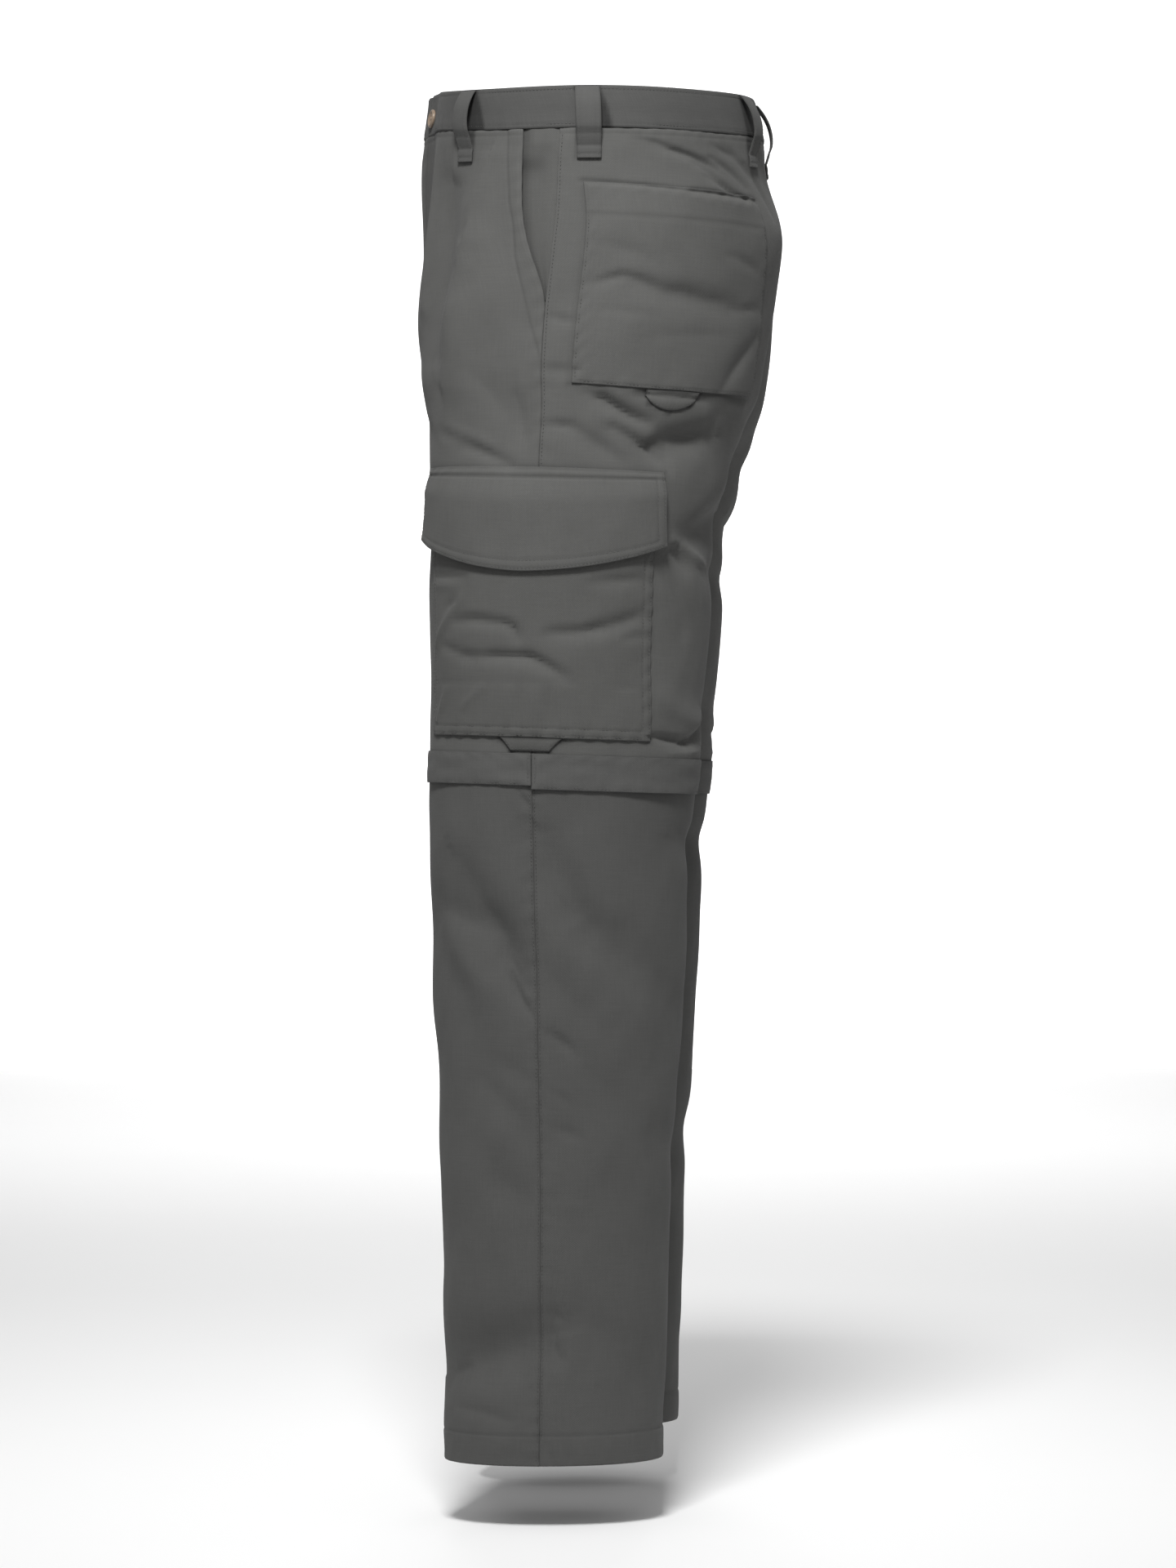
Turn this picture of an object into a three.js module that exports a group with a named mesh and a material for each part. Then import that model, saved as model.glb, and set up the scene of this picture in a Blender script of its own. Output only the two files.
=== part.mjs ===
// Convertible zip-off trousers in worn form, in millimetres, +Z up.
// +X is the wearer's left and -Y the front. The origin is the middle of the waist, half way up the waistband.
import * as THREE from "three";

const bandTop = 15.5; // waistband, above and below the origin
const bandFoot = -15.5;
const outseam = 1070.5; // waistband top to hem at the side
const hem = bandTop - outseam;
const hemDepth = 24;
const crotch = -290;
const seamGap = 0.3; // between two pieces at a seam
const layGap = 0.8; // under a piece that lies on another: the seam gap and room for flat facets
const cloth = 1.4; // wall of one layer of twill
const patch = 1.2; // wall of a sewn-on pocket, tab or band
const bandWall = 2.8; // waistband: two layers and its stiffening
const bandProud = 1.2; // how far the waistband stands out of the panels
const underlap = 30; // waistband end that runs on behind the button
const loopWide = 18.5;
const loopWall = 1.6;
const buttonAcross = 15;
const buttonThick = 2.6;
const buttonFromCentre = 12;
const buttonSeat = 0.4; // over the curve of the band, where its flat facets stand out by a little less
const perDegree = 1.7; // millimetres round the leg for one degree, for the folds
const squareness = 2.1; // exponent of the rounded sections
const stride = 0.105; // the right leg stands this much of its distance from the centre behind the left

// Worn sections of one leg with its half of the seat, one row each. The section runs about (centre, mid-depth)
// out to outer, in to innerFront and innerBack, forward to front and back to back. seam is the side seam's place
// in degrees, negative to the front. The rises lift centre front and centre back, and lean tips the section.
const sectionNames = ["z", "centre", "outer", "innerFront", "innerBack", "front", "back", "seam", "riseFront",
  "riseBack", "lean"];
const sections = [
  [hem, 115, 60, 59.5, 59.5, -104.6, 67, -4, 0, 0, 0],
  [-873, 111, 65.5, 63.5, 63.5, -106.4, 72.7, -4.5, 0, 0, 0.006],
  [-712, 108, 70.5, 68, 68, -112.6, 81.7, -6, 0, 0, 0.018],
  [-551, 105, 78, 74, 74, -117.4, 89.8, -8.5, 0, 0, 0.03],
  [-500, 103, 82, 77, 77, -117.5, 96, -10, 0, 0, 0.033],
  [-437, 101, 87, 81, 81, -116.5, 99.8, -10.5, 0, 0, 0.035],
  [-352, 99, 93, 88, 88, -117.4, 107.5, -11, 0, 0, 0.033],
  [-320, 98, 96, 92, 92, -117.4, 110.5, -11, 0, 0, 0.033],
  [crotch, 96, 99.5, 96, 96, -117.5, 116, -11, 0, 0, 0.033],
  [-265, 88, 108, 94.5, 93, -118.5, 121.5, -11.3, 0, 0, 0.032],
  [-235, 79, 117, 112, 101, -123, 133, -11.6, 0, 0, 0.028],
  [-200, 68, 127, 170, 122, -131, 142, -12, 0, 0, 0.02],
  [-150, 52, 141, 230, 160, -135.5, 151, -13.3, 0, 0, 0.01],
  [-95, 34, 155, 240, 200, -135, 155, -14.3, 3, 2, 0],
  [-45, 12, 170, 200, 190, -134.5, 145, -13.3, 10, 6, 0],
  [bandFoot, 2, 176, 176, 176, -133, 142, -12.8, 14, 8, 0],
  [0, 0, 175, 175, 175, -131, 139, -12.8, 12.5, 8, 0],
  [bandTop, 0, 172, 172, 172, -129, 135, -12.8, 10.5, 8, 0],
];

// Largest folds, one row each: angle, z, toAngle, toZ, width, depth. A fold runs from (angle, z) to (toAngle, toZ),
// in degrees and millimetres, with its half width and its depth, below zero for a trough.
const folds = [
  [-56, -120, -66, -205, 15, -2.6], // front crease beside the fly
  [-74, -170, -100, -250, 16, -2.4], // whisker to the crotch
  [-58, -244, -24, -279, 14, -1.8], // above the flap
  [10, -26, 52, -66, 11, -1.6], // below the waistband
  [9, -224, 24, -242, 11, -2.2], // below the back pocket
  [22, -250, 62, -254, 15, -3], // under the seat
  [84, -228, 120, -275, 15, -3.2], // seat to crotch
  [72, -330, 130, -352, 18, -2.6], // back of the thigh
  [-2, -404, 36, -388, 12, -1.6], // cargo pocket
  [-50, -426, 2, -438, 12, -1.6],
  [58, -462, 128, -476, 14, -2.6], // above the zip, at the back of the knee
  [44, -482, 84, -488, 9, 1.6],
  [66, -566, 140, -586, 16, -2.8], // behind the knee
  [-40, -575, -7, -692, 16, -2.2], // shin
  [8, -600, 72, -678, 22, -2],
  [-12, -716, 16, -728, 14, -1.4],
  [60, -800, 120, -830, 20, -1.8], // calf
  [-80, -985, -40, -1002, 12, -3.2], // break above the hem
  [-60, -1008, -10, -1012, 14, 1.4],
  [150, -930, 200, -990, 18, -2],
];

const slant = { top: -25, end: -160 }; // slant pocket opening, angle at the waist and level where it meets the seam
const backPocket = { head: -58.5, foot: -215.5, fromTop: -5.5, fromFoot: -2, toTop: 57, toFoot: 76, bulge: 1.2 };
const backTab = { from: 22, to: 42.5, deep: 15.5 };
const flap = { head: -281, from: -76, toHead: 36.5, toFoot: 40.5, tip: -362, tipAngle: -17, lift: 24, half: 58 };
const cargo = { head: -297, foot: -490.2, from: -70, toHead: 34.5, toFoot: 40, bulge: 2.4 };
const cargoTab = { from: -23.8, to: 1.4, footFrom: -18.8, footTo: -3, deep: 10.6 };
const zipBand = { head: -502.8, frontFoot: -527.6, backFoot: -530.4 };
const upperEnd = -507; // upper legs end behind the zip band
const lowerStart = -521; // lower legs start behind it
const zipMiddle = -518; // the cloth is stiff and smooth here
const zipTape = { head: -499, foot: -541, wall: 1 };
const flyShield = { half: 26, foot: -172 };

// The left front stands back from the right one: by deep from one place across to another, dying out by reach, and
// between two levels.
const frontTurn = { deep: 9, from: -18, to: 30, reach: 70, full: -70, end: -200 };
const facingReach = 9; // degrees that the pocket facing runs on behind the opening edge
const loopPlaces = { front: -48.4, side: -3.7, back: 61.5 };

// Where a belt loop's inner face stands off the panel, by its height.
const loopProfile = [
  { z: 14, off: 2.1 },
  { z: 11, off: 4 },
  { z: 5, off: 7.8 },
  { z: -5, off: 8.8 },
  { z: -15, off: 8 },
  { z: -25, off: 4.8 },
  { z: -32, off: 1.6 },
  { z: -36, off: 0.9 },
  { z: -41, off: 0.9 },
];

const twill = { color: 0x626260, roughness: 0.92, metalness: 0 };
const colours = { lower: 0x50504e, pocket: 0x5d5d5b, band: 0x595957, tape: 0x3a3a3a };

const lerp = THREE.MathUtils.lerp;
const smoothstep = THREE.MathUtils.smoothstep;
const degrees = THREE.MathUtils.radToDeg;
const radians = THREE.MathUtils.degToRad;

// Monotone cubic through one column of the section table.
const heights = sections.map((row) => row[0]);
const slopes = Object.fromEntries(sectionNames.map((name, k) => {
  const rise = (i) => (sections[i + 1][k] - sections[i][k]) / (heights[i + 1] - heights[i]);
  return [name, sections.map((row, i) => {
    if (i === 0) return rise(0);
    if (i === sections.length - 1) return rise(i - 1);
    const below = rise(i - 1);
    const above = rise(i);
    const spanBelow = heights[i] - heights[i - 1];
    const spanAbove = heights[i + 1] - heights[i];
    return below * above <= 0 ? 0 : (spanBelow + spanAbove) / (spanBelow / below + spanAbove / above);
  })];
}));

function section(name, z) {
  const k = sectionNames.indexOf(name);
  const level = THREE.MathUtils.clamp(z, hem, bandTop);
  let i = 0;
  while (i < sections.length - 2 && level > heights[i + 1]) i += 1;
  const span = heights[i + 1] - heights[i];
  const t = (level - heights[i]) / span;
  const [a, b] = [sections[i][k], sections[i + 1][k]];
  const [ma, mb] = [slopes[name][i] * span, slopes[name][i + 1] * span];
  return (2 * t ** 3 - 3 * t * t + 1) * a + (t ** 3 - 2 * t * t + t) * ma + (3 * t * t - 2 * t ** 3) * b
    + (t ** 3 - t * t) * mb;
}

const signedPower = (value, power) => Math.sign(value) * Math.abs(value) ** power;

// Angle of the section where it stands at distance x from the centre plane, at the front or the back.
function angleAtX(x, z, isFront) {
  const reach = x - section("centre", z);
  const radius = section(reach > 0 ? "outer" : isFront ? "innerFront" : "innerBack", z);
  const part = THREE.MathUtils.clamp(reach / radius, -1, 1);
  const angle = degrees(Math.acos(signedPower(part, squareness / 2)));
  return isFront ? -angle : angle;
}

// Angle just short of the centre plane, or of the inseam where the leg stands clear of it.
function centreAngle(z, isFront) {
  const hairline = degrees(Math.asin((seamGap / 2 / 90) ** (squareness / 2)));
  const angle = Math.min(Math.abs(angleAtX(seamGap / 2, z, isFront)), 180 - hairline);
  return isFront ? -angle : angle;
}

// Depth of the folds at one place, below zero in a trough: each is a bell across and fades past its ends, and the
// waistband, the zip and the hem hold the cloth smooth.
function foldAt(angle, z) {
  let sum = 0;
  for (const [a, za, b, zb, width, depth] of folds) {
    const run = new THREE.Vector2((b - a) * perDegree, zb - za);
    const here = new THREE.Vector2((angle - a) * perDegree, z - za);
    const along = THREE.MathUtils.clamp(here.dot(run) / run.lengthSq(), 0, 1);
    const away = here.distanceTo(run.clone().multiplyScalar(along));
    sum += depth * Math.exp(-((away / width) ** 2)) * (0.55 + 0.45 * Math.sin(Math.PI * along));
  }
  const stiff = 1 - 0.85 * Math.exp(-(((z - zipMiddle) / 26) ** 2));
  return sum * stiff * smoothstep(-z, 18, 34) * smoothstep(z, hem, hem + 18);
}

function turnAt(x, z) {
  const fade = Math.exp(-((Math.max(x, 0) / frontTurn.reach) ** 2)) * smoothstep(z, frontTurn.end, frontTurn.full);
  return frontTurn.deep * smoothstep(x, frontTurn.from, frontTurn.to) * fade;
}

// Point of the garment at an angle and level, moved out by off along the section's normal.
function place(side, angle, z, off) {
  const c = Math.cos(radians(angle));
  const s = Math.sin(radians(angle));
  const across = section(c > 0 ? "outer" : s < 0 ? "innerFront" : "innerBack", z);
  const front = section("front", z);
  const back = section("back", z);
  const deep = (back - front) / 2;
  const normal = new THREE.Vector2(
    signedPower(c, 2 - 2 / squareness) / across,
    signedPower(s, 2 - 2 / squareness) / deep,
  ).normalize();
  const out = off + foldAt(angle, z);
  const x = Math.max(
    section("centre", z) + across * signedPower(c, 2 / squareness) + out * normal.x,
    seamGap / 2,
  );
  const turned = s < 0 ? turnAt(side * x, z) : 0;
  const y = (back + front) / 2 + deep * signedPower(s, 2 / squareness) + out * normal.y + turned;
  const rise = section(s < 0 ? "riseFront" : "riseBack", z) * s ** 4;
  const shift = stride * smoothstep(-z, 20, 250) * side * x;
  return new THREE.Vector3(side * x, y - shift, z + rise - section("lean", z) * y);
}

// Closed wall over a grid: at(i, j) gives the outer and the inner point. A ring also joins its last column to its
// first. The faces are turned to point out of the cloth.
function wall(columns, rows, at, ring = false) {
  const across = ring ? columns : columns + 1;
  const layer = across * (rows + 1);
  const points = [[], []];
  for (let j = 0; j <= rows; j += 1) {
    for (let i = 0; i < across; i += 1) {
      at(i, j).forEach((point, side) => points[side].push(point));
    }
  }
  const spots = [...points[0], ...points[1]];
  const index = (i, j, side) => side * layer + j * across + (i % across);
  const quads = [];
  for (let j = 0; j < rows; j += 1) {
    for (let i = 0; i < columns; i += 1) {
      quads.push([index(i, j, 0), index(i + 1, j, 0), index(i + 1, j + 1, 0), index(i, j + 1, 0)]);
      quads.push([index(i, j, 1), index(i, j + 1, 1), index(i + 1, j + 1, 1), index(i + 1, j, 1)]);
    }
  }
  for (let i = 0; i < columns; i += 1) {
    quads.push([index(i, 0, 1), index(i + 1, 0, 1), index(i + 1, 0, 0), index(i, 0, 0)]);
    quads.push([index(i, rows, 0), index(i + 1, rows, 0), index(i + 1, rows, 1), index(i, rows, 1)]);
  }
  for (let j = 0; j < rows && !ring; j += 1) {
    quads.push([index(0, j, 0), index(0, j + 1, 0), index(0, j + 1, 1), index(0, j, 1)]);
    quads.push([index(columns, j, 1), index(columns, j + 1, 1), index(columns, j + 1, 0), index(columns, j, 0)]);
  }
  const corners = quads.flatMap(([a, b, c, d]) => [a, b, c, a, c, d]);
  let volume = 0;
  for (let k = 0; k < corners.length; k += 3) {
    const [a, b, c] = [spots[corners[k]], spots[corners[k + 1]], spots[corners[k + 2]]];
    volume += a.dot(b.clone().cross(c));
  }
  if (volume < 0) corners.reverse();
  const geometry = new THREE.BufferGeometry().setFromPoints(spots);
  geometry.setIndex(corners);
  geometry.computeVertexNormals();
  return geometry;
}

const trousers = new THREE.Group();

function add(name, geometry, color = twill.color) {
  const mesh = new THREE.Mesh(geometry, new THREE.MeshStandardMaterial({ ...twill, color }));
  mesh.name = name;
  trousers.add(mesh);
  return mesh;
}

// Wall laid on the garment between two angles and two levels, each a function of the other, from off to off + thick.
function laid({ side, columns, rows, from, to, head, foot, off, thick }) {
  return wall(columns, rows, (i, j) => {
    const u = i / columns;
    const level = lerp(head(u), foot(u), j / rows);
    const angle = lerp(from(level), to(level), u);
    const under = off(u, j / rows, angle, level);
    return [place(side, angle, level, under + thick), place(side, angle, level, under)];
  });
}

const fixed = (value) => () => value;
const hairAngle = 0.09; // half a seam gap, in degrees

// Upper and lower leg panels, with rows of levels shared by front and back so that their seams match.
const upperLevels = [bandFoot - seamGap, -30, -46, -64, -84, -104, -126, -148, -170, -192, -210, -226, -240, -253,
  -265, -276, crotch, -306, -328, -354, -384, -414, -442, -466, -488, upperEnd];
const lowerLevels = [lowerStart, -548, -580, -616, -655, -698, -745, -795, -848, -900, -946, -982, -1006,
  hem + hemDepth, hem + hemDepth - 2, hem];
const frontColumns = 14;
const backColumns = 13;

// Angle of a panel's column, from the side seam at 0 to the centre or the inseam at 1, closer set at centre front.
const columnAngle = (seam, centre, part) => lerp(seam, centre, centre < 0 ? 1 - (1 - part) ** 1.3 : part ** 1.08);

function slantAngle(z) {
  return lerp(slant.top, section("seam", z), smoothstep(-z, 70, -slant.end) ** 1.2);
}

function panel(side, isFront, levels) {
  const turned = isFront ? -1 : 1;
  const columns = isFront ? frontColumns : backColumns;
  return wall(columns, levels.length - 1, (i, j) => {
    const z = levels[j];
    const opened = isFront && z > slant.end;
    const edge = (opened ? slantAngle(z) : section("seam", z)) + turned * hairAngle;
    const angle = columnAngle(edge, centreAngle(z, isFront), i / columns);
    const deep = z < hem + hemDepth - 1 ? 2 * cloth : cloth;
    return [place(side, angle, z, 0), place(side, angle, z, -deep)];
  });
}

// Pocket facing between the slant opening and the side seam: level with the panel at the seam, behind it in front.
function pocketFacing(side) {
  return laid({
    side,
    columns: 5,
    rows: 8,
    from: (z) => slantAngle(z) - facingReach * smoothstep(z, slant.end, slant.end + 60) - 2,
    to: (z) => section("seam", z) - 2 * hairAngle,
    head: fixed(bandFoot - seamGap),
    foot: fixed(slant.end + 14),
    off: (u, v, angle, z) => {
      const wide = section("seam", z) - slantAngle(z);
      const behind = smoothstep(section("seam", z) - angle, 0.15 * wide, 0.75 * wide);
      return -patch - (cloth + layGap) * behind;
    },
    thick: patch,
  });
}

function backPatch(side) {
  const spread = (top, foot) => (z) => lerp(top, foot, THREE.MathUtils.inverseLerp(backPocket.head, backPocket.foot, z));
  return laid({
    side,
    columns: 11,
    rows: 9,
    from: spread(backPocket.fromTop, backPocket.fromFoot),
    to: spread(backPocket.toTop, backPocket.toFoot),
    head: (u) => backPocket.head - 6 * u,
    foot: (u) => backPocket.foot - 2.5 * Math.sin(Math.PI * u),
    off: (u, v) => layGap + backPocket.bulge * Math.sin(Math.PI * u) * Math.sin(Math.PI * Math.min(v + 0.25, 1)),
    thick: patch,
  });
}

function backPocketTab(side) {
  const foot = backPocket.foot - 2.5;
  return laid({
    side,
    columns: 8,
    rows: 3,
    from: fixed(backTab.from),
    to: fixed(backTab.to),
    head: fixed(foot - seamGap - 0.2),
    foot: (u) => foot - 2 - (backTab.deep - 2) * Math.sin(Math.PI * THREE.MathUtils.clamp(u, 0.03, 0.97)) ** 0.5,
    off: fixed(layGap),
    thick: patch,
  });
}

// Offset of the cargo pocket's inner face: sewn down at its sides and foot, fuller in the middle.
function cargoOff(u, z) {
  const down = THREE.MathUtils.inverseLerp(cargo.head, cargo.foot, z);
  return layGap + cargo.bulge * Math.sin(Math.PI * u) ** 0.7 * Math.sin(Math.PI * Math.min(down * 0.9 + 0.04, 1)) ** 0.8;
}

function cargoPocket(side) {
  return laid({
    side,
    columns: 14,
    rows: 10,
    from: fixed(cargo.from),
    to: (z) => lerp(cargo.toHead, cargo.toFoot, THREE.MathUtils.inverseLerp(cargo.head, cargo.foot, z)),
    head: fixed(cargo.head),
    foot: fixed(cargo.foot),
    off: (u, v, angle, z) => cargoOff(u, z),
    thick: patch,
  });
}

// Flap: flat on the leg at its sewn head, then lifted over the pocket, most of all at its front corner.
function cargoFlap(side) {
  const footAt = (angle) => flap.tip + flap.lift * Math.abs((angle - flap.tipAngle) / flap.half) ** 1.7;
  return laid({
    side,
    columns: 14,
    rows: 6,
    from: fixed(flap.from),
    to: (z) => lerp(flap.toHead, flap.toFoot, THREE.MathUtils.inverseLerp(flap.head, -336, z)),
    head: fixed(flap.head),
    foot: (u) => footAt(lerp(flap.from, flap.toFoot, u)),
    off: (u, v) => layGap + smoothstep(v, 0, 0.36) * 4.8 + 2 * v * v * (1 - u) ** 2,
    thick: cloth,
  });
}

function cargoPocketTab(side) {
  return laid({
    side,
    columns: 6,
    rows: 2,
    from: (z) => lerp(cargoTab.from, cargoTab.footFrom, (cargo.foot - z) / cargoTab.deep),
    to: (z) => lerp(cargoTab.to, cargoTab.footTo, (cargo.foot - z) / cargoTab.deep),
    head: fixed(cargo.foot - seamGap - 0.2),
    foot: fixed(cargo.foot - cargoTab.deep),
    off: fixed(layGap),
    thick: patch,
  });
}

// Band over the zip, on the same columns as the leg panels.
function zipCover(side, isFront) {
  const turned = isFront ? -1 : 1;
  const columns = isFront ? frontColumns : backColumns;
  const foot = isFront ? zipBand.frontFoot : zipBand.backFoot;
  return wall(columns, 2, (i, j) => {
    const z = lerp(zipBand.head, foot, j / 2);
    const edge = section("seam", z) + turned * hairAngle;
    const angle = columnAngle(edge, centreAngle(z, isFront) - turned * 0.15, i / columns);
    return [place(side, angle, z, seamGap + patch), place(side, angle, z, seamGap)];
  });
}

// Zip tape all round the leg inside both panels, on the same columns.
function zipRing(side) {
  const levels = [zipTape.head, upperEnd, lowerStart, zipTape.foot];
  return wall(frontColumns + backColumns, levels.length - 1, (i, j) => {
    const seam = section("seam", levels[j]);
    const angle = i < frontColumns
      ? columnAngle(seam, -180, 1 - i / frontColumns)
      : columnAngle(seam, 180, (i - frontColumns) / backColumns);
    const under = -cloth - layGap;
    return [place(side, angle, levels[j], under), place(side, angle, levels[j], under - zipTape.wall)];
  }, true);
}

// Half of the waistband from centre back to centre front. The right half runs on behind the left one.
function waistband(side) {
  const turns = 19;
  const stations = [];
  for (let i = 0; i <= turns; i += 1) {
    stations.push({ side, angle: lerp(centreAngle(0, false), angleAtX(38, 0, true), i / turns), behind: 0 });
  }
  if (side > 0) {
    const underButton = [buttonFromCentre + 8.5, buttonFromCentre - 8.5];
    [29, ...underButton, seamGap / 2].forEach((x) => stations.push({ side, x, behind: 0 }));
  } else {
    stations.push({ side, x: 26, behind: 0 }, { side, x: 14, behind: 0 });
    stations.push({ side, x: 8, behind: 0.25 }, { side, x: 1.5, behind: 1 });
    stations.push(...[8, underlap / 2, 22, underlap].map((x) => ({ side: 1, x, behind: 1 })));
  }
  const levels = [bandTop, 8, 0, -8, bandFoot];
  return wall(stations.length - 1, levels.length - 1, (i, j) => {
    const station = stations[i];
    const z = levels[j];
    const angle = station.angle ?? angleAtX(station.x, z, true);
    const off = bandProud - (bandWall + layGap) * station.behind;
    return [place(station.side, angle, z, off), place(station.side, angle, z, off - bandWall)];
  });
}

// Strip that stands off the waistband between its two tacked ends. The centre-back one crosses the middle.
function beltLoop(side, angle) {
  const rows = loopProfile.length - 1;
  return wall(2, rows, (i, j) => {
    const { z, off } = loopProfile[j];
    const shift = (i / 2 - 0.5) * loopWide;
    if (angle === undefined) {
      const away = Math.max(Math.abs(shift), 0.5);
      const hold = [off + loopWall, off].map((o) => place(1, angleAtX(away, z, false), z, o));
      hold.forEach((point) => point.setX(shift));
      return hold;
    }
    const step = place(side, angle + 0.5, z, 0).distanceTo(place(side, angle - 0.5, z, 0));
    const here = angle + shift / step;
    return [place(side, here, z, off + loopWall), place(side, here, z, off)];
  });
}

// Strip behind the front opening, across the centre plane.
function flyUnder() {
  const columns = 8;
  const levels = [bandFoot - 1, -40, -66, -92, -118, -145, flyShield.foot];
  return wall(columns, levels.length - 1, (i, j) => {
    const x = lerp(-flyShield.half, flyShield.half, i / columns);
    const z = levels[j];
    const side = x < 0 ? -1 : 1;
    const angle = angleAtX(Math.max(Math.abs(x), 0.5), z, true);
    return [-cloth - layGap, -cloth - layGap - patch].map((off) => place(side, angle, z, off).setX(x));
  });
}

function button() {
  const angle = angleAtX(buttonFromCentre, 0, true);
  const on = place(1, angle, 0, bandProud + buttonSeat);
  const along = place(1, angle + 1, 0, bandProud).sub(place(1, angle - 1, 0, bandProud));
  const up = place(1, angle, 4, bandProud).sub(place(1, angle, -4, bandProud));
  const out = along.cross(up).normalize();
  const mesh = add("button", new THREE.CylinderGeometry(buttonAcross / 2, buttonAcross / 2, buttonThick, 28), 0x70645a);
  mesh.position.copy(on).addScaledVector(out, buttonThick / 2);
  mesh.quaternion.setFromUnitVectors(new THREE.Vector3(0, 1, 0), out);
  mesh.material.roughness = 0.4;
}

for (const [name, side] of [["left", 1], ["right", -1]]) {
  add("waistband_" + name, waistband(side), colours.band);
  for (const [where, angle] of Object.entries(loopPlaces)) {
    add("belt_loop_" + where + "_" + name, beltLoop(side, angle), colours.band);
  }
  add("front_" + name, panel(side, true, upperLevels));
  add("back_" + name, panel(side, false, upperLevels));
  add("lower_front_" + name, panel(side, true, lowerLevels), colours.lower);
  add("lower_back_" + name, panel(side, false, lowerLevels), colours.lower);
  add("pocket_facing_" + name, pocketFacing(side), colours.pocket);
  add("back_pocket_" + name, backPatch(side));
  add("back_tab_" + name, backPocketTab(side));
  add("cargo_pocket_" + name, cargoPocket(side), colours.pocket);
  add("cargo_flap_" + name, cargoFlap(side));
  add("cargo_tab_" + name, cargoPocketTab(side));
  add("zip_cover_front_" + name, zipCover(side, true), colours.band);
  add("zip_cover_back_" + name, zipCover(side, false), colours.band);
  add("zip_" + name, zipRing(side), colours.tape);
}
add("belt_loop_centre_back", beltLoop(1), colours.band);
add("fly_shield", flyUnder());
button();

export default trousers;
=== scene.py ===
from math import pi, radians

import bpy
import numpy as np
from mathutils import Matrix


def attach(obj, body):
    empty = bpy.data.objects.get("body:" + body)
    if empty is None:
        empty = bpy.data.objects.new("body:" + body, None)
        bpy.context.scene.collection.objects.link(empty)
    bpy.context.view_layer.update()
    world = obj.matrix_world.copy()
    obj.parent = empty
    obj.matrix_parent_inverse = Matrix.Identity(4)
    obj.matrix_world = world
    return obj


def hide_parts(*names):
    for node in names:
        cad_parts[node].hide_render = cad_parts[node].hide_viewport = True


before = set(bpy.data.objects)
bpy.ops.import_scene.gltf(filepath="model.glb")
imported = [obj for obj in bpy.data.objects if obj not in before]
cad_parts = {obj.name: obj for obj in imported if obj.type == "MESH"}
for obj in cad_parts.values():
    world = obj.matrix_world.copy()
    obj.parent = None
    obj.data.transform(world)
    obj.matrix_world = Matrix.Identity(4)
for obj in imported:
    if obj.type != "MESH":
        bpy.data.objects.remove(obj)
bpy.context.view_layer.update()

# Convertible trousers in worn form. Sizes below are in millimetres unless a name says otherwise.
# +X is the wearer's left, -Y the front, +Z up, and the origin is the middle of the waist.
metre = 0.001  # millimetres to Blender's metres
sides = {"left": 1, "right": -1}

# camera: level, at the wearer's left, turned a little to the front
cameraSet = {"distance": 4000, "toFront": 2.0, "height": -525.2, "focalPixels": 6033, "imageTall": 1920, "sensor": 36}

# body of the garment
waist = {"top": 15.5, "foot": -15.5, "lift": 2.6, "frontLift": 3.6, "proud": 0.9, "wall": 2.8, "sunk": 0.8,
         "underStop": 14}
# the band's hidden end: side, distance from the centre, share of the depth
waist["turnIn"] = ((-1, 8, 0.25), (-1, 1.5, 1), (1, 8, 1), (1, 19, 1), (1, 30, 1))
leg = {"hem": -1055, "hemDeep": 24, "crotch": -290, "upperEnd": -507, "lowerStart": -521}
cloth = {"wall": 1.0, "gap": 0.3, "lay": 0.4, "patch": 1.2, "flap": 1.5, "cover": 1.1, "cell": 2.7, "squareness": 2.1,
         "stride": 0.105, "perDegree": 1.7, "foldStrength": 1.3, "groove": 0.34, "rimBulge": 0.12}
# rows and columns of the finest grids, and how much coarser the side away from the camera is
gridSet = {"upper": (128, 84), "lower": (92, 66), "rows": (1.25, 0.75), "lowerRows": 0.85, "band": (24, 230)}

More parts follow.
